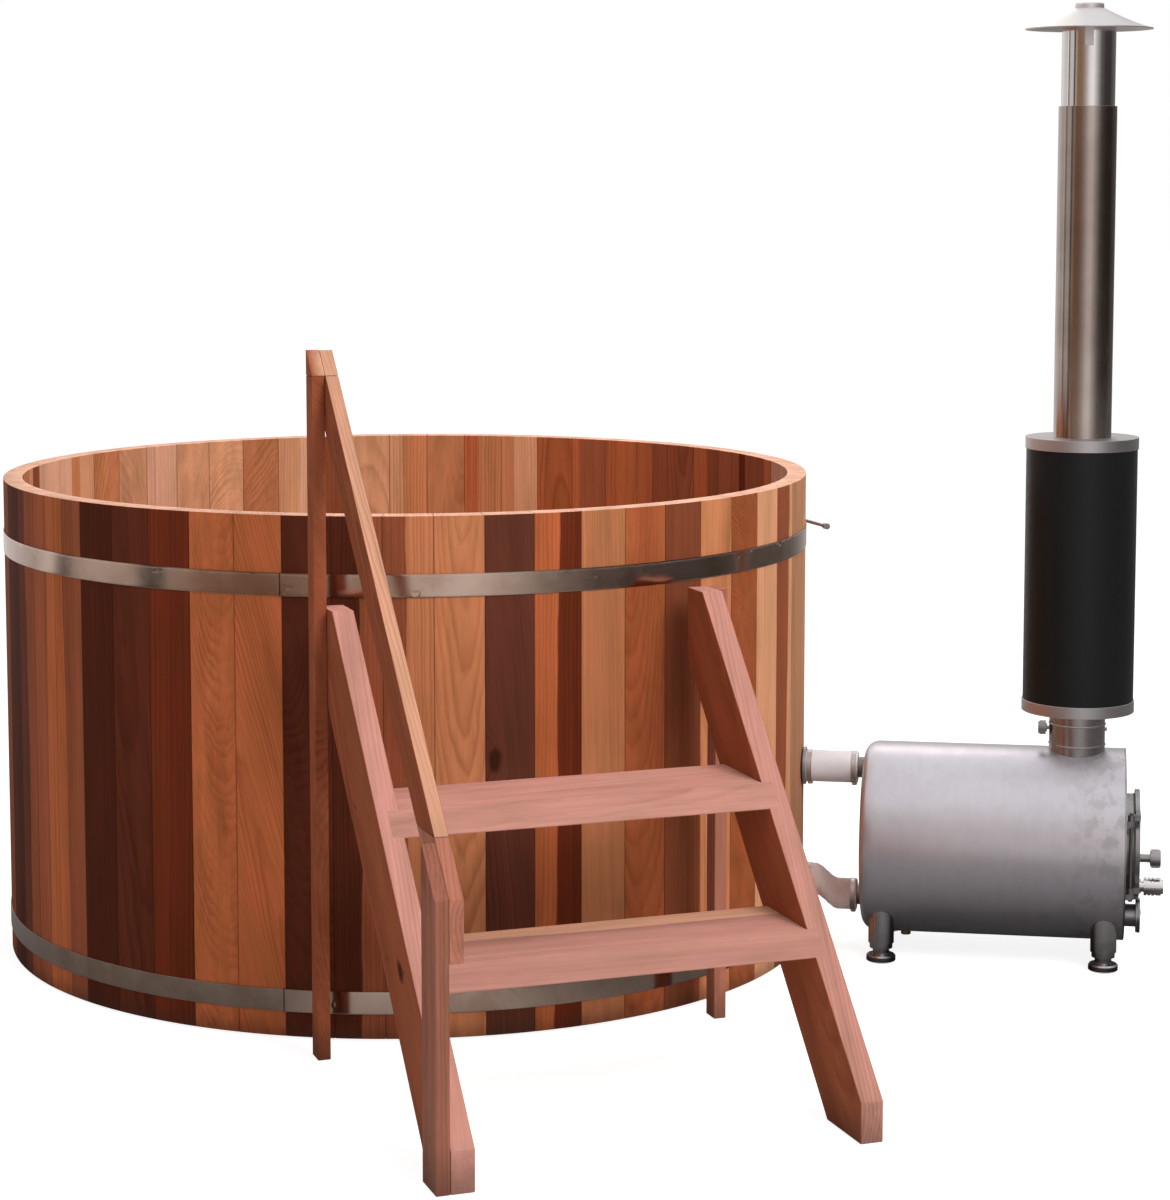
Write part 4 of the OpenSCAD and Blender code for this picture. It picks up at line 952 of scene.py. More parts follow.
class HOTTUB_OT_staves(bpy.types.Operator):
    """Makes the staves of the tub's wall, each with its own tone and grain"""

    bl_idname = "hottub.staves"
    bl_label = "Staves"

    def execute(self, context):
        radius = settings("cedar").stave_round
        for group in ("dark", "red", "orange", "light"):
            numbers = [i for i, row in enumerate(STAVES) if row[0] == group]
            parts = Parts()
            for i in numbers:
                if i:
                    parts.add(stave_grid(i, radius), i)
            mesh = parts.mesh("staves_" + group)
            if 0 in numbers:
                first = Parts().add(stave_grid(0, radius)).mesh("first")
                for height in (PORT_HIGH, PORT_LOW):
                    first = drilled(first, height)
                work = bmesh.new()
                work.from_mesh(mesh)
                work.from_mesh(first)
                work.to_mesh(mesh)
                work.free()
            wooden(mesh, {i: stave_look(i) for i in numbers}, 11)
            piece("stave_wall_" + group, mesh, "staves_" + group, "cedar_" + group)
        return {"FINISHED"}


# ---------------------------------------------------------------- floor and benches


def disc_board(low, high):
    """A board along X between two lines, its ends cut by the floor's circle: x = square root of
    R^2 - y^2."""
    y = np.linspace(low, high, 18)
    x = np.sqrt(np.maximum(FLOOR_R ** 2 - y ** 2, 1e-6))
    return np.concatenate([np.stack([x, y], 1), np.stack([-x[::-1], y[::-1]], 1)])


def drain_board(low, high, round_edge):
    """The floor board with the drain's hole. Its long sides have a point at each 4 degrees as seen
    from the hole, so that the faces between the outline and the hole, whose points lie in the same
    directions, stay even."""
    sight = np.radians(np.arange(6, 171, 4))
    ends = disc_board(low, high)
    half = len(ends) // 2
    far_side = np.stack([DRAIN_X + high / np.tan(sight), np.full(len(sight), high)], 1)
    near_side = np.stack([DRAIN_X - low / np.tan(sight[::-1]), np.full(len(sight), low)], 1)
    outline = np.concatenate([ends[:half], far_side, ends[half:], near_side])
    grid = prism(outline, FLOOR_LOW, FLOOR_TOP, round_edge)
    way = grid[0, :, :2] - (DRAIN_X, 0)
    way /= np.linalg.norm(way, axis=1, keepdims=True)
    soft = 0.0006

    def ring(radius, z):
        return at_height((DRAIN_X, 0) + radius * way, z)[None]

    return np.concatenate([
        ring(DRAIN_BORE, FLOOR_LOW + soft), ring(DRAIN_BORE + soft, FLOOR_LOW), grid,
        ring(DRAIN_BORE + soft, FLOOR_TOP), ring(DRAIN_BORE, FLOOR_TOP - soft)])


def bench_outlines():
    """The two boards of one bench, pointing along +X: straight inner edges, slanted ends, the outer
    one cut by the wall's circle."""
    slope = math.tan(math.radians(30))
    middle = (BENCH_IN + BENCH_OUT - BENCH_GAP) / 2
    start = middle + BENCH_GAP

    def edge(x):
        return (x - BENCH_GAP) * slope

    first = [
        (BENCH_IN, -edge(BENCH_IN)), (middle, -edge(middle)),
        (middle, edge(middle)), (BENCH_IN, edge(BENCH_IN))]
    # The slanted end meets the circle where x^2 + ((x - gap) slope)^2 = R^2.
    a, b, c = 1 + slope ** 2, -2 * BENCH_GAP * slope ** 2, (BENCH_GAP * slope) ** 2 - BENCH_OUT ** 2
    meet = (-b + math.sqrt(b * b - 4 * a * c)) / (2 * a)
    end = math.degrees(math.atan2(edge(meet), meet))
    t = arc(-end, end, 25)
    rim = BENCH_OUT * np.stack([np.cos(t), np.sin(t)], 1)
    return first, np.concatenate([[(start, -edge(start))], rim, [(start, edge(start))]])


class HOTTUB_OT_floor(bpy.types.Operator):
    """Makes the floor boards, the bearers under them and the benches"""

    bl_idname = "hottub.floor"
    bl_label = "Floor and benches"

    def execute(self, context):
        round_edge = settings("cedar").edge_round
        rng = np.random.default_rng(5)

        def any_tone():
            return ("salmon", "honey", "tan", "ginger")[rng.integers(4)]

        boards, middle = [], 6
        for i in range(2 * middle + 1):
            y = (i - middle) * BOARD_W
            low, high = y - BOARD_W / 2 + FIT / 2, y + BOARD_W / 2 - FIT / 2
            if i == middle:
                grid = drain_board(low, high, round_edge)
            else:
                outline = disc_board(max(low, -FLOOR_R + 1e-4), min(high, FLOOR_R - 1e-4))
                grid = prism(outline, FLOOR_LOW, FLOOR_TOP, round_edge)
            boards.append((grid, {
                "origin": (0, y, FLOOR_TOP - 0.02), "along": (1, 0, 0), "across": (0, 1, 0),
                "tone": any_tone(),
            }))
        cedar_piece("floor", "floor_boards", boards, 21, closed=(middle,))

        boards = []
        for x in BEARERS_X:
            side = BEARER_W / 2
            half = math.sqrt((BORE_R - 0.006) ** 2 - (abs(x) + side) ** 2)
            grid = prism(block(x - side, x + side, -half, half), *heights("floor_bearers"), round_edge)
            boards.append((grid, {
                "origin": (x, 0, 0.03), "along": (0, 1, 0), "across": (1, 0, 0), "tone": "salmon"}))
        cedar_piece("bearers", "floor_bearers", boards, 22)

        boards = []
        low, high = heights("bench_seats")
        for azimuth in BENCHES_AT:
            out = ray(azimuth)
            for outline in bench_outlines():
                boards.append((turned(prism(outline, low, high, round_edge * 1.5), azimuth), {
                    "origin": out * BENCH_MIDDLE + np.array([0, 0, high]),
                    "along": beside(out), "across": out, "tone": any_tone(),
                }))
        cedar_piece("benches", "bench_seats", boards, 23)

        boards = []
        # A leg at each end of the row of benches and one under each joint.
        ends = BENCHES_AT[0] - 30, BENCHES_AT[-1] + 30
        inwards = math.degrees((BENCH_LEG_T / 2 + BENCH_GAP) / BENCH_IN)
        outline = block(BENCH_LEG_IN, BENCH_LEG_OUT, -BENCH_LEG_T / 2, BENCH_LEG_T / 2)
        for azimuth in (ends[0] + inwards, BENCHES_AT[0] + 30, BENCHES_AT[1] + 30, ends[1] - inwards):
            out = ray(azimuth)
            boards.append((turned(prism(outline, *heights("bench_supports"), round_edge), azimuth), {
                "origin": out * BENCH_MIDDLE + np.array([0, 0, 0.28]),
                "along": UP, "across": out, "tone": any_tone(),
            }))
        cedar_piece("bench_legs", "bench_supports", boards, 24)
        return {"FINISHED"}


# ---------------------------------------------------------------- stair


def front_at(z):
    """How far out the stringers' front edge lies at the height z."""
    return STAIR_FRONT - SLOPE * (z - TOE)


def rail_at(out):
    """Height of the handrail's top edge at a distance from the tub's middle."""
    return RAIL_Z + (STAIR_FRONT - out) * RAIL_SLOPE


def rail_out(z):
    """The distance from the tub's middle at which the handrail's top edge is at the height z."""
    return STAIR_FRONT - (z - RAIL_Z) / RAIL_SLOPE


def side_board(low, high, outline, radius):
    """A board across the stair from low to high, with a side outline given as distance out and
    height: the outline is drawn in the plane of distance and height, then stood up and turned to the
    stair's direction."""
    flat = np.asarray(outline, float)
    area = (flat[:, 0] * np.roll(flat[:, 1], -1) - flat[:, 1] * np.roll(flat[:, 0], -1)).sum()
    grid = prism(flat[::-1] if area < 0 else flat, low, high, radius)
    stood = np.stack([grid[..., 2], -grid[..., 0], grid[..., 1]], -1)
    return turned(stood, STAIR_TURN, (STAIR_SHIFT, 0, 0))


def stair_point(across, out, height):
    """A point of the stair in the frame."""
    return turned(np.array([[across, -out, height]]), STAIR_TURN, (STAIR_SHIFT, 0, 0))[0]


def stair_way(across, out, height):
    """A direction of the stair in the frame."""
    return turned(np.array([[across, -out, height]]), STAIR_TURN)[0]


LEFT, RIGHT = -HALF_W - PLANK, HALF_W + PLANK
HEAD_Z, FOOT_Z = rail_at(STAIR_BACK) - RAIL_HEAD, rail_at(STAIR_FRONT) + RAIL_FOOT
SIDEWAYS, OUTWARDS = stair_way(1, 0, 0), stair_way(0, 1, 0)
# Pale edges and rust broad sides: partly the wood, partly painted shade of the broad sides beside the lit
# edges.
RUST_FACED = dict(tone="blush", face=("rust", SLAT / 2, 1.0), cut="flat")


def stringer(low, look):
    """One stringer: a slanting plank with an upright toe, its back and top cut square."""
    run = STRINGER_W * math.sqrt(1 + SLOPE ** 2)
    back_z = TOE + (STAIR_FRONT - STAIR_BACK - run) / SLOPE
    outline = [
        (STAIR_FRONT, 0), (STAIR_FRONT, TOE), (front_at(STAIR_TOP), STAIR_TOP),
        (STAIR_BACK, STAIR_TOP), (STAIR_BACK, back_z), (front_at(0) - run, 0),
    ]
    return side_board(low, low + PLANK, outline, settings("cedar").edge_round), dict(
        look, tone="salmon", cut="flat", origin=stair_point(low + PLANK / 2, MIDDLE_OUT, 0.45),
        along=stair_way(0, -SLOPE, 1), across=stair_way(0, 1, SLOPE))


def post(low, outline, origin, radius=None, **look):
    """One upright board of the stair."""
    return side_board(low, low + SLAT, outline, radius or settings("cedar").edge_round), dict(
        look, origin=stair_point(*origin), along=UP, across=OUTWARDS)


def tall_post():
    """The post at the head of the handrail, and the end of the rail's head board on it."""
    back, out, above = STAIR_BACK, STAIR_BACK + BACK_POST_W, HEAD_Z + BOARD_GAP
    lower = block(back, out, 0, HEAD_Z)
    head = [(back, above), (back, rail_at(back)), (out, rail_at(out)), (out, above)]
    look = dict(origin=(-0.41, 0.91, 0.6), tilt=(0.3, 0.4), fine=1.5)
    return [
        post(LEFT - SLAT, lower, tone="rust", cut="quarter", shade=1.1, **look),
        post(LEFT - SLAT, head, radius=0.0008, **dict(RUST_FACED, cut="quarter"), shade=0.85, **look),
    ]


def handrail():
    """The handrail: a short head at the tall post, the rail itself, and a foot on the front post, cut
    level."""
    back, front, above, below = STAIR_BACK, STAIR_FRONT, HEAD_Z + BOARD_GAP, FOOT_Z - BOARD_GAP
    head = [(back, above), (back, rail_at(back)), (rail_out(above), above)]
    rail = [
        (back, rail_at(back) - RAIL_DEEP), (back, HEAD_Z), (rail_out(HEAD_Z), HEAD_Z),
        (rail_out(FOOT_Z), FOOT_Z), (rail_out(FOOT_Z + RAIL_DEEP), FOOT_Z)]
    foot = [
        (rail_out(below + RAIL_DEEP), below), (rail_out(below), below),
        (front, rail_at(front)), (front, rail_at(front) - RAIL_DEEP)]
    looks = (
        dict(RUST_FACED, shade=0.85), dict(RUST_FACED, shade=0.92),
        dict(tone="clay", shade=1.25, cut="flat"))
    place = dict(
        origin=stair_point(LEFT + SLAT / 2, MIDDLE_OUT, 0.9),
        along=stair_way(0, -1, RAIL_SLOPE), across=OUTWARDS)
    radius = settings("cedar").edge_round * 0.8
    return [
        (side_board(LEFT, LEFT + SLAT, outline, radius), dict(look, **place))
        for outline, look in zip((head, rail, foot), looks)]


def tread(z, **look):
    """One tread, its front edge slanting with the stringers and a little proud of them."""
    low, end = z - TREAD_T, HALF_W + TREAD_IN
    outline = [
        (front_at(z) + TREAD_PROUD, z), (front_at(z) - TREAD_DEPTH, z),
        (front_at(z) - TREAD_DEPTH, low), (front_at(low) + TREAD_PROUD, low),
    ]
    return side_board(-end, end, outline, settings("cedar").edge_round * 1.4), dict(
        look, tone="salmon", origin=stair_point(0, front_at(z) - 0.1, z), along=SIDEWAYS, across=OUTWARDS)


class HOTTUB_OT_stair(bpy.types.Operator):
    """Makes the stringers, treads, posts and handrail of the stair"""

    bl_idname = "hottub.stair"
    bl_label = "Stair"

    def execute(self, context):
        back, front = STAIR_BACK, STAIR_FRONT
        inner = front - FRONT_POST_W
        front_post = [(inner, 0), (inner, rail_at(inner)), (front, rail_at(front)), (front, 0)]
        # Several shades here are partly painted light and shade, set to stand in for how the light falls on
        # each board; the right stringer's brighter broad sides stand in for light bounced onto its inner
        # side.
        boards = {
            "handrail": handrail(),
            "left_stringer": [stringer(LEFT, dict(
                face=("rust", PLANK / 2, 1.05), shade=1.18, knot=(-0.012, -0.185)))],
            "right_stringer": [stringer(HALF_W, dict(face=("rust", PLANK / 2, 1.25), shade=1.10))],
            "tall_post": tall_post(),
            "back_leg": [post(
                RIGHT, block(back, back + BACK_POST_W, 0, STAIR_TOP), (0.41, 0.91, 0.4),
                tone="clay", shade=1.12, cut="quarter")],
            "front_post": [post(
                LEFT - SLAT, front_post, (LEFT - SLAT / 2, 1.69, 0.3), tone="clay", shade=0.84, cut="flat")],
            "treads": [
                tread(TREAD_TOPS[0], second="blush", split=0.03, cut="quarter"),
                tread(TREAD_TOPS[1], cut="flat")],
        }
        seeds = (37, 31, 32, 33, 34, 35, 41)
        for (node, made), seed in zip(boards.items(), seeds):
            cedar_piece("stair_" + node, node, made, seed)
        return {"FINISHED"}


# ---------------------------------------------------------------- hoops


def hoop_path():
    """The band's middle line in the joint's frame: an arc round the tub, a short bend and a straight
    end that stands out on each side; with its outward normal and half its thickness."""
    middle, side = (HOOP_IN + HOOP_OUT) / 2, HOOP_GAP + HOOP_BEND
    start = math.asin(side / middle)
    lap_step, lap_fade, half_band, half_end, end_points = 0.0017, 0.5, 0.001, 0.002, 6
    lap = math.radians(LAP_AT - HOOP_JOINT)
    near_lap = np.array([0.0001, 0.0008, 0.0022, 0.0040])
    a = np.sort(np.concatenate([
        np.linspace(start, 2 * math.pi - start, 360), lap - near_lap, lap + near_lap]))
    # Small uneven spots, as on a band pulled tight by hand: a sum of three slow waves.
    uneven = 0.0001 * ((np.sin(9 * a) + np.sin(23 * a + 1) + np.sin(41 * a + 2)) / 3 - 1.05)
    # The end of the outer length lies on the inner one: a small step that fades out along the band.
    uneven += np.where(a > lap, lap_step * np.clip(1 - (a - lap) / lap_fade, 0, 1), 0)
    ring_n = np.stack([np.cos(a), np.sin(a)], 1)
    ring = (middle + uneven)[:, None] * ring_n

    t = np.linspace(0, math.pi / 2, end_points)[:-1]
    centre = np.array([math.sqrt(middle ** 2 - side ** 2) + HOOP_BEND, side])
    corner_n = np.stack([np.sin(t), np.cos(t)], 1)
    corner = centre - HOOP_BEND * corner_n
    line_x = np.linspace(centre[0] + 0.001, HOOP_TIP, end_points)
    line = np.stack([line_x, np.full(end_points, HOOP_GAP)], 1)
    first = np.concatenate([line[::-1], corner])
    first_n = np.concatenate([np.tile([0.0, 1.0], (end_points, 1)), corner_n])
    thick = np.concatenate([np.full(end_points, half_end), np.linspace(0.0019, half_band, len(t))])
    mirror = np.array([1.0, -1.0])
    path = np.concatenate([first, ring, first[::-1] * mirror])
    normal = np.concatenate([-first_n, ring_n, -first_n[::-1] * mirror])
    return path, normal, np.concatenate([thick, np.full(len(ring), half_band), thick[::-1]])


class HOTTUB_OT_hoops(bpy.types.Operator):
    """Makes the two steel hoops with their turned-out ends"""

    bl_idname = "hottub.hoops"
    bl_label = "Hoops"

    def execute(self, context):
        path, normal, half = hoop_path()
        # A rounded bar: a superellipse of power 8, as wide as the band and as thick as it is there.
        t = whole_turn(24)
        across = half[:, None] * squarish(np.cos(t), 0.25)
        up = HOOP_W * (0.5 + 0.5 * squarish(np.sin(t), 0.25)) + 0 * across
        low, high = heights("hoops")
        parts = Parts()
        for z in (low, high - HOOP_W):
            parts.add(turned(sweep(path, normal, np.stack([across, z + up], -1)), HOOP_JOINT))
        mesh = parts.mesh("hoops")
        # The lap's dark line, a painted shadow of its step, fades within about 2 mm of it.
        points = vertices(mesh)
        turn = np.degrees(np.arctan2(points[:, 1], points[:, 0])) - LAP_AT
        from_lap = np.radians(np.abs((turn + 180) % 360 - 180)) * TUB_R
        put_attributes(mesh, seam=np.clip(1.5 - from_lap / 0.0016, 0, 1))
        piece("hoop_bands", mesh, "hoops", "hoop_steel", weld=True)
        return {"FINISHED"}


# ---------------------------------------------------------------- hoses


def tube(x, z, radii):
    """A hose in the plane y = 0: upright circles of the given radii along it, then the bore back
    again, closed into one skin."""
    a = whole_turn(64)

    def rings(r):
        up = z[:, None] + r[:, None] * np.cos(a)
        return np.stack([x[:, None] + 0 * up, r[:, None] * np.sin(a), up], -1)

    return np.concatenate([rings(radii), rings(np.full(len(x), PORT_BORE))[::-1]])


class HOTTUB_OT_hoses(bpy.types.Operator):
    """Makes the two water hoses between the tub and the stove"""

    bl_idname = "hottub.hoses"
    bl_label = "Hoses"

    def execute(self, context):
        (start, *_), (stop, *_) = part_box("upper_hose")
        length = stop - start
        end_share, end_round, pinch_deep, pinch_wide = 0.025, 0.0012, 0.0004, 0.006
        drop_start, drop_length, fold_deep, fold_count = 0.022, 0.053, 0.0005, 9
        t = np.linspace(0, 1, HOSE_STEPS)
        x = start + t * length
        end = np.clip(np.minimum(t, 1 - t) / end_share, 0, 1)
        rim = end_round * (1 - np.sqrt(1 - (1 - end) ** 2))
        pinch = pinch_deep * sum(np.exp(-((x - middle) / pinch_wide) ** 2) for middle in CLAMPS_MIDDLE)
        # The lower hose drops from one port to the other along a smooth step.
        u = np.clip((t * length - drop_start) / drop_length, 0, 1)
        drop = (PORT_STOVE - PORT_LOW) * u * u * (3 - 2 * u)
        folds = fold_deep * np.cos(t * 2 * math.pi * fold_count) * np.sin(math.pi * u)
        for name, z, radii, finish in (
            ("upper", PORT_HIGH + 0 * t, HOSE_R - rim - pinch, "hose_light"),
            ("lower", PORT_LOW + drop, OLD_HOSE_R - rim - pinch + folds, "hose_dull"),
        ):
            mesh = Parts().add(tube(x, z, radii), close_rows=True).mesh(name + "_hose")
            piece("hose_" + name, mesh, name + "_hose", finish, weld=True)

        # Each clamp is a thin band with turned edges and a rounded screw housing under it.
        low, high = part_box("hose_clamps")
        lip = 0.0004
        band = CLAMP_OUT - lip
        edge = [(band, lip), (CLAMP_OUT, 0.0), (CLAMP_OUT, 0.0014), (band, 0.0019)]
        other_edge = [(r, CLAMP_W - x) for r, x in edge[::-1]]
        ring = soften([(CLAMP_IN, lip), *edge, *other_edge, (CLAMP_IN, CLAMP_W - lip)], 0.0002, 2)
        housing = prism(block(0.0, CLAMP_W, 0.004, 0.020), -0.043, -0.036, 0.0022)
        parts, near, far = Parts(), low[0], high[0] - CLAMP_W
        for x, z in ((near, PORT_HIGH), (near, PORT_LOW), (far, PORT_HIGH), (far, PORT_STOVE)):
            parts.add(lathe(ring, (x, 0, z), "X", 96), close_rows=True)
            parts.add(housing + np.array([x, 0, z]))
        piece("clamps", parts.mesh("hose_clamps"), "hose_clamps", "clamp_steel", weld=True)
        return {"FINISHED"}


# ---------------------------------------------------------------- stove and metal


class HOTTUB_OT_fittings(bpy.types.Operator):
    """Finishes the rods, nuts, screws, water fittings and the drain"""

    bl_idname = "hottub.fittings"
    bl_label = "Fittings"

    def execute(self, context):
        give({
            "brushed_steel": (
                "stair_screws", "wall_fittings", "wall_locknuts", "water_grilles", "drain_fitting"),
            "ring_steel": ("rod_nuts", "tension_rods"),
            "dull_steel": ("drain_locknut",),
            "black_rubber": ("drain_plug", "wall_seals"),
        })
        return {"FINISHED"}


class HOTTUB_OT_stove(bpy.types.Operator):
    """Finishes the stove's body, door, latch, air tube and feet"""

    bl_idname = "hottub.stove"
    bl_label = "Stove"

    def execute(self, context):
        give({
            "stove_steel": ("stove_jacket",),
            "end_steel": ("dished_end",),
            "ring_steel": ("air_tube",),
            "door_steel": (
                "front_plate", "door", "door_frame", "air_cover", "hinge_brackets", "door_handle"),
            "leg_steel": ("leg_sockets", "foot_1", "foot_2", "foot_3", "foot_4"),
            "dull_steel": ("firebox", "stove_ports", "hinge_pin", "latch_tongue"),
            "polished_steel": ("latch_knob",),
            "cast_iron": ("grate",),
            "brass": ("stove_drain_plug",),
        })
        # The door's seal: a flattened cord laid in a ring.
        (low, *_), (high, *_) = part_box("door_seal")
        t = whole_turn(20)
        profile = np.stack([
            SEAL_R + SEAL_HALF_W * squarish(np.cos(t), 0.6),
            (low + high) / 2 + (high - low) / 2 * squarish(np.sin(t), 0.6)], 1)
        mesh = Parts().add(lathe(profile, (0, 0, STOVE_Z), "X"), close_rows=True).mesh("door_seal")
        piece("seal_ring", mesh, "door_seal", "seal_cord", body="door", weld=True)
        return {"FINISHED"}


# ---------------------------------------------------------------- chimney


def flue_piece(name, slot, node, finish, *profiles):
    """Profiles with softened corners, turned round the chimney's axis."""
    parts = Parts()
    for profile in profiles:
        parts.add(lathe(soften(profile, 0.0006), (FLUE_X, 0, 0)), close_rows=True)
    return piece(name, parts.mesh(name), node, finish, weld=True)


def cap_profile():
    """The rain cap: a cone that flattens towards its edge, height = 43 mm x s^1.25, with a round knob
    on top, and the same sheet back again underneath."""
    top = heights("rain_cap")[1]
    s = np.linspace(0, 1, 17)
    outer = np.stack([CAP_R + (CAP_KNOB_R - CAP_R) * s, top - 0.054 + 0.043 * s ** 1.25], 1)
    knob = [(0.0305, top - 0.003), (0.0290, top - 0.0008), (0.0248, top), (0.0, top)]
    under = [(0.0, top - 0.013), (CAP_KNOB_R, top - 0.013)]
    inner = outer[::-1] - (0, SHEET)
    return np.concatenate([outer, knob, under, inner[1:]])


class HOTTUB_OT_chimney(bpy.types.Operator):
    """Makes the flues, the heat shield with its rings and the rain cap"""

    bl_idname = "hottub.chimney"
    bl_label = "Chimney"

    def execute(self, context):
        foot, head = heights("lower_flue")
        inside, lip = LOWER_FLUE_R - SHEET, UPPER_FLUE_R + 0.0002
        flue_piece("flue_lower", "brushed_steel", "lower_flue", "flue_steel", [
            (inside, foot), (LOWER_FLUE_R, foot), (LOWER_FLUE_R, head), (lip, head),
            (lip, head - SHEET), (inside, head - SHEET)])
        flue_piece("flue_upper", "polished_steel", "upper_flue", "polished_steel",
                   block(UPPER_FLUE_R - SHEET, UPPER_FLUE_R, *heights("upper_flue")))
        shield = flue_piece("shield_tube", "black_enamel", "heat_shield", "black_enamel",
                            block(SHIELD_R - SHEET, SHIELD_R, *heights("heat_shield")))

        foot, head = heights("shield_rings")
        bore, floor, edge = LOWER_FLUE_R + 0.0002, foot + 0.003, foot + 0.025
        low = [(bore, foot), (RIM_R, foot), (RIM_R, edge), (RIM_R - SHEET, edge), (RIM_R - SHEET, floor),
               (bore, floor)]
        high = [(r, foot + head - z) for r, z in low[::-1]]
        rings = flue_piece("rings_of_shield", "dull_steel", "shield_rings", "ring_steel", low, high)
        # The stove's skin is to show no dark image of the shield above it.
        shield.visible_glossy = rings.visible_glossy = False

        parts = Parts().add(lathe(cap_profile(), (FLUE_X, 0, 0)), close_rows=True)
        strap_head, strap_t, strap_half_w = 2.0578, 0.003, 0.009
        strap = prism(
            block(lip, lip + strap_t, -strap_half_w, strap_half_w), heights("rain_cap")[0], strap_head,
            0.0006)
        for azimuth in STRAPS_AT:
            parts.add(turned(strap, azimuth) + np.array([FLUE_X, 0, 0]))
        piece("cap", parts.mesh("rain_cap"), "rain_cap", "cap_steel", weld=True)
        give({"collar_steel": ("flue_collar",), "dull_steel": ("damper_plate", "damper_spindle")})
        return {"FINISHED"}


# ---------------------------------------------------------------- studio


# The screen round the object: direction in degrees from +X, brightness, and how warm it is.
SCREEN = np.array((
    (-180, 0.12, 0.2), (-177, 0.45, 0.2), (-173, 0.62, 0.2), (-156, 0.64, 0.2), (-152, 0.05, 0.3),
    (-147, 0.05, 0.3), (-144, 0.46, 0.3), (-139, 0.42, 0.6), (-135, 0.26, 1.0), (-122, 0.25, 1.0),
    (-110, 0.27, 0.8), (-94, 0.46, 0.25), (-78, 0.88, 0.1), (-64, 0.95, 0.1), (-54, 0.60, 0.1),
    (-44, 0.36, 0.1), (-32, 0.12, 0.2), (-12, 0.045, 0.3), (14, 0.04, 0.3), (30, 0.10, 0.2),
    (60, 0.16, 0.2), (90, 0.55, 0.1), (120, 0.85, 0.1), (150, 0.70, 0.1), (164, 0.60, 0.1),
    (172, 1.0, 0.1), (176, 0.14, 0.2), (180, 0.12, 0.2),
)).T
CARD_TURN = np.arange(-180, 180, 1.5)[None, :]
CARD_X = 0.6


def screen_looks():
    """The screen's brightness and warmth in each of the cards' directions."""
    return [np.interp(CARD_TURN, SCREEN[0], row) for row in SCREEN[1:]]


def mirror_card(name, grid, levels, warmth=0.1, close_cols=True):
    """A studio surface that only reflections see, with a grey, and how warm it is, on each point."""
    mesh = Parts().add(grid, close_cols=close_cols, caps=False).mesh(name)
    warmth = (warmth + 0 * levels).reshape(-1, 1)
    colours = levels.reshape(-1, 1) * (1 - warmth * np.array([0, 0.42, 0.65, 0]))
    colours[:, 3] = 1
    put_attributes(mesh, level=colours)
    card = linked(name, mesh)
    s = Shader(name)
    s.show(s.node("Emission", {"Color": s.attribute("level", "Color"), "Strength": 1.0}))
    s.material.cycles.emission_sampling = "NONE"
    mesh.materials.append(s.material)
    for kind in ("camera", "diffuse", "transmission", "volume_scatter", "shadow"):
        setattr(card, "visible_" + kind, False)


def screen():
    """A round screen 11 m off, whose greys fade upwards into the white world: position = 11 m x
    direction of the angle and rise."""
    rise = np.linspace(-5.2, 52, 16)[:, None]
    a, e = np.radians(CARD_TURN), np.radians(rise)
    grid = 11 * np.stack([np.cos(e) * np.cos(a), np.cos(e) * np.sin(a), np.sin(e) + 0 * a], -1)
    level, warmth = screen_looks()
    fade = np.clip((rise - 8) / 42, 0, 1) ** 1.3
    mirror_card("screen", grid + (CARD_X, 0, 1.0), level + (1 - level) * fade, warmth * (1 - fade))


def painted_ground_shade():
    """A grey disc just over the ground, which only reflections see: painted shadow of the ground round
    the stove and the tub, as the metals reflect it. Its level is 0.012 by the stove and 0.14 by the
    tub, rises to 0.29 with 1 - e^(-d / 0.3 m), where d is the distance from the nearer of the two, and
    turns into the screen's greys from 1 m to 5 m. In front of the tub, behind the stair, it is
    brighter, a painted reflection of the lit ground there."""
    by_stove, by_tub, open_level, before_tub = 0.012, 0.14, 0.29, 0.34
    r = np.concatenate([[0.0], np.geomspace(0.12, 9.5, 56)])[:, None]
    a = np.radians(CARD_TURN)
    x, y = CARD_X + r * np.cos(a), r * np.sin(a)
    tub = np.maximum(np.hypot(x, y) - TUB_R, 0)
    stove = np.hypot(np.maximum(np.abs(x - 1.33) - 0.28, 0), np.maximum(np.abs(y) - 0.16, 0))
    near = np.minimum(tub, stove)
    far_share = np.clip((near - 1) / 4, 0, 1)
    level, warmth = screen_looks()
    open_ground = open_level + (level - open_level) * far_share
    close = by_stove + (by_tub - by_stove) * stove / (tub + stove + 0.01)
    grey = close + (open_ground - close) * (1 - np.exp(-near / 0.3))
    in_front = np.clip((x + 0.15) / 0.2, 0, 1) * np.clip((0.80 - x) / 0.3, 0, 1) * (y < 0)
    grey += before_tub * in_front * np.clip((1.3 - near) / 0.5, 0, 1) * (1 - np.exp(-near / 0.15))
    warm = 0.1 + (warmth - 0.1) * far_share
    mirror_card("painted_ground_shade", np.stack([x, y, 0.003 + 0 * x], -1), grey, warm)


def strip_card():
    """A long bright strip high behind the object, for the highlight along the top of the stove."""
    grid = np.array([[(x, y, z) for x in (0.30, 1.30)] for y, z in ((5.2, 3.4), (3.9, 4.9))])
    mirror_card("strip_card", grid, np.full(4, 2.7), close_cols=False)


def lamp(name, place, target, size, power, colour=(1, 1, 1)):
    """A soft square lamp that points at a target."""
    light = bpy.data.lights.new(name, "AREA")
    light.shape, light.size, light.size_y = "RECTANGLE", size, size
    light.energy, light.color = power, colour
    obj = linked(name, light)
    obj.location = place
    obj.rotation_euler = (Vector(target) - Vector(place)).to_track_quat("-Z", "Y").to_euler()
    obj.visible_glossy = False


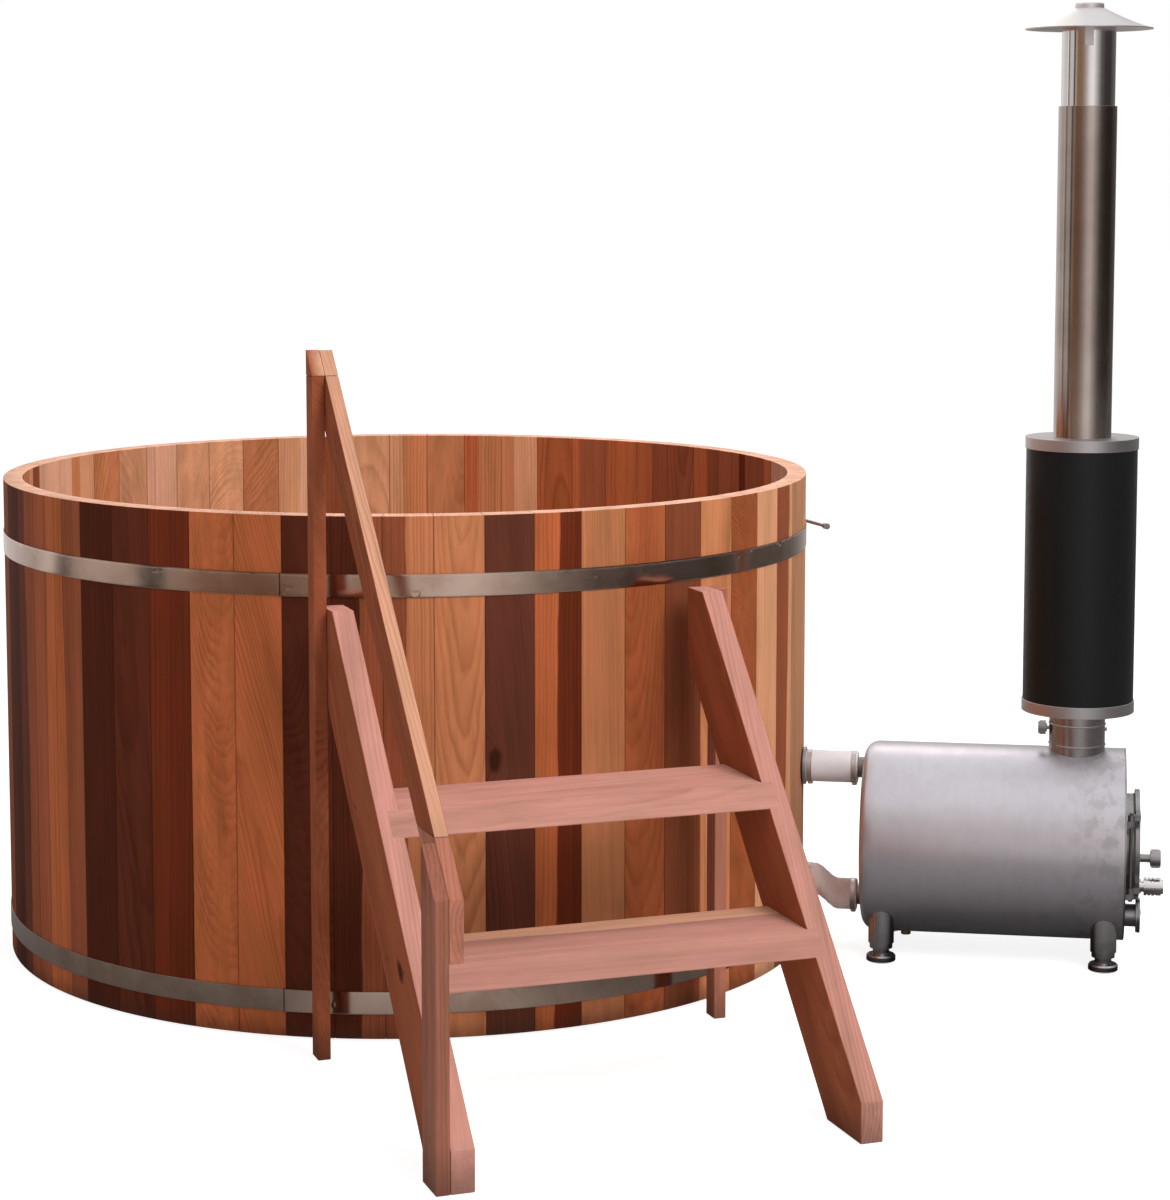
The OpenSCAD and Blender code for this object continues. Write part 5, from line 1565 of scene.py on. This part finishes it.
def behind_light(s, own, seen):
    """Mixes two shaders: the second is what the camera, reflections and glass see."""
    outputs = s.node("LightPath").socket.node.outputs
    camera, glossy, glass = [
        Value(s, outputs["Is " + kind + " Ray"]) for kind in ("Camera", "Glossy", "Transmission")]
    any_ray = s.math("MAXIMUM", camera, s.math("MAXIMUM", glossy, glass))
    return s.node("MixShader", {0: any_ray, 1: own, 2: seen})


def camera():
    """The photo's view: its place, direction, lens and upward shift, fitted to the tub's rim, hoop
    and base."""
    view = bpy.data.cameras.new("camera")
    view.lens, view.sensor_width, view.sensor_fit = 86.34, 36.0, "AUTO"
    view.shift_y = -131.0 / 1200.0
    view.clip_end = 200.0
    eye = linked("camera", view)
    eye.location = (1.4536, -6.3392, 1.7173)
    eye.rotation_euler = (math.radians(84.162), 0, math.radians(9.376))
    bpy.context.scene.camera = eye


def white_world(ambient):
    """A world that lights the object softly and is seen as white."""
    world = bpy.data.worlds.new("world")
    world.use_nodes = True
    bpy.context.scene.world = world
    s = Shader("world", world=world)
    own = s.node("Background", {"Color": (1, 1, 1), "Strength": ambient})
    seen = s.node("Background", {"Color": (1, 1, 1), "Strength": 1.0})
    s.show(behind_light(s, own, seen))


def pale_ground(share):
    """A wide disc seen as nearly white: the share is its own white, and the rest takes the light and
    the shadows."""
    floor = bpy.data.meshes.new("floor")
    a = whole_turn(96)
    rim = at_height(60 * np.stack([np.cos(a), np.sin(a)], 1), -0.0006)
    floor.from_pydata(rim.tolist(), [], [list(range(len(a)))])
    ground = linked("ground", floor)
    s = Shader("ground", rough=0.9, specular=0.0)
    s.put(s.surface, "Base Color", (0.80, 0.80, 0.80))
    glow = s.node("Emission", {"Color": (1, 1, 1), "Strength": share})
    part = s.node("BsdfDiffuse", {"Color": (0.40, 0.40, 0.40)})
    seen = s.node("AddShader", {0: glow, 1: part})
    s.show(behind_light(s, Value(s, s.surface.outputs[0]), seen))
    floor.materials.append(s.material)


class HOTTUB_OT_studio(bpy.types.Operator):
    """Sets the camera, the lamps, the white world and the pale floor"""

    bl_idname = "hottub.studio"
    bl_label = "Studio"

    def execute(self, context):
        studio = settings("studio")
        context.scene.view_settings.view_transform = "Standard"
        camera()
        white_world(studio.ambient)
        pale_ground(studio.floor)
        lamp("key", (4.2, -4.0, 5.2), (0.4, 0, 0.6), 3.2, studio.key, (1.0, 0.985, 0.96))
        lamp("fill", (-4.0, -4.5, 2.6), (0.2, 0, 0.6), 3.0, studio.fill)
        lamp("top", (0.6, 1.2, 5.5), (0.4, 0, 0.6), 3.0, studio.top)
        screen()
        painted_ground_shade()
        strip_card()
        return {"FINISHED"}


# ---------------------------------------------------------------- add-on

STEPS = (
    HOTTUB_OT_studio, HOTTUB_OT_staves, HOTTUB_OT_floor, HOTTUB_OT_hoops, HOTTUB_OT_stair,
    HOTTUB_OT_hoses, HOTTUB_OT_fittings, HOTTUB_OT_stove, HOTTUB_OT_chimney,
)


class HOTTUB_PT_panel(bpy.types.Panel):
    """Lists the steps that build the hot tub"""

    bl_idname = "HOTTUB_PT_panel"
    bl_label = "Hot tub"
    bl_space_type = "VIEW_3D"
    bl_region_type = "UI"
    bl_category = "Hot tub"

    def draw(self, context):
        for step in STEPS:
            self.layout.operator(step.bl_idname)
        for name in ("cedar", "metal", "studio"):
            box = self.layout.box()
            group = settings(name)
            for key in group.__annotations__:
                box.prop(group, key)


GROUPS_OF_SETTINGS = {"cedar": CedarSettings, "metal": MetalSettings, "studio": StudioSettings}
CLASSES = (*GROUPS_OF_SETTINGS.values(), *STEPS, HOTTUB_PT_panel)


def register():
    """Registers the classes and their settings."""
    for cls in CLASSES:
        bpy.utils.register_class(cls)
    for name, cls in GROUPS_OF_SETTINGS.items():
        setattr(bpy.types.Scene, "hot_tub_" + name, bpy.props.PointerProperty(type=cls))


def unregister():
    """Takes the classes and their settings away."""
    for name in GROUPS_OF_SETTINGS:
        delattr(bpy.types.Scene, "hot_tub_" + name)
    for cls in reversed(CLASSES):
        bpy.utils.unregister_class(cls)


def main():
    """Builds the hot tub."""
    own = set(frame["nodes"].values()) | set(frame["bodies"].values())
    for obj in list(bpy.data.objects):
        if obj not in own:
            bpy.data.objects.remove(obj)
    register()
    make_finishes()
    for step in STEPS:
        group, name = step.bl_idname.split(".")
        getattr(getattr(bpy.ops, group), name)()
    bpy.context.view_layer.update()


if __name__ == "__main__":
    main()
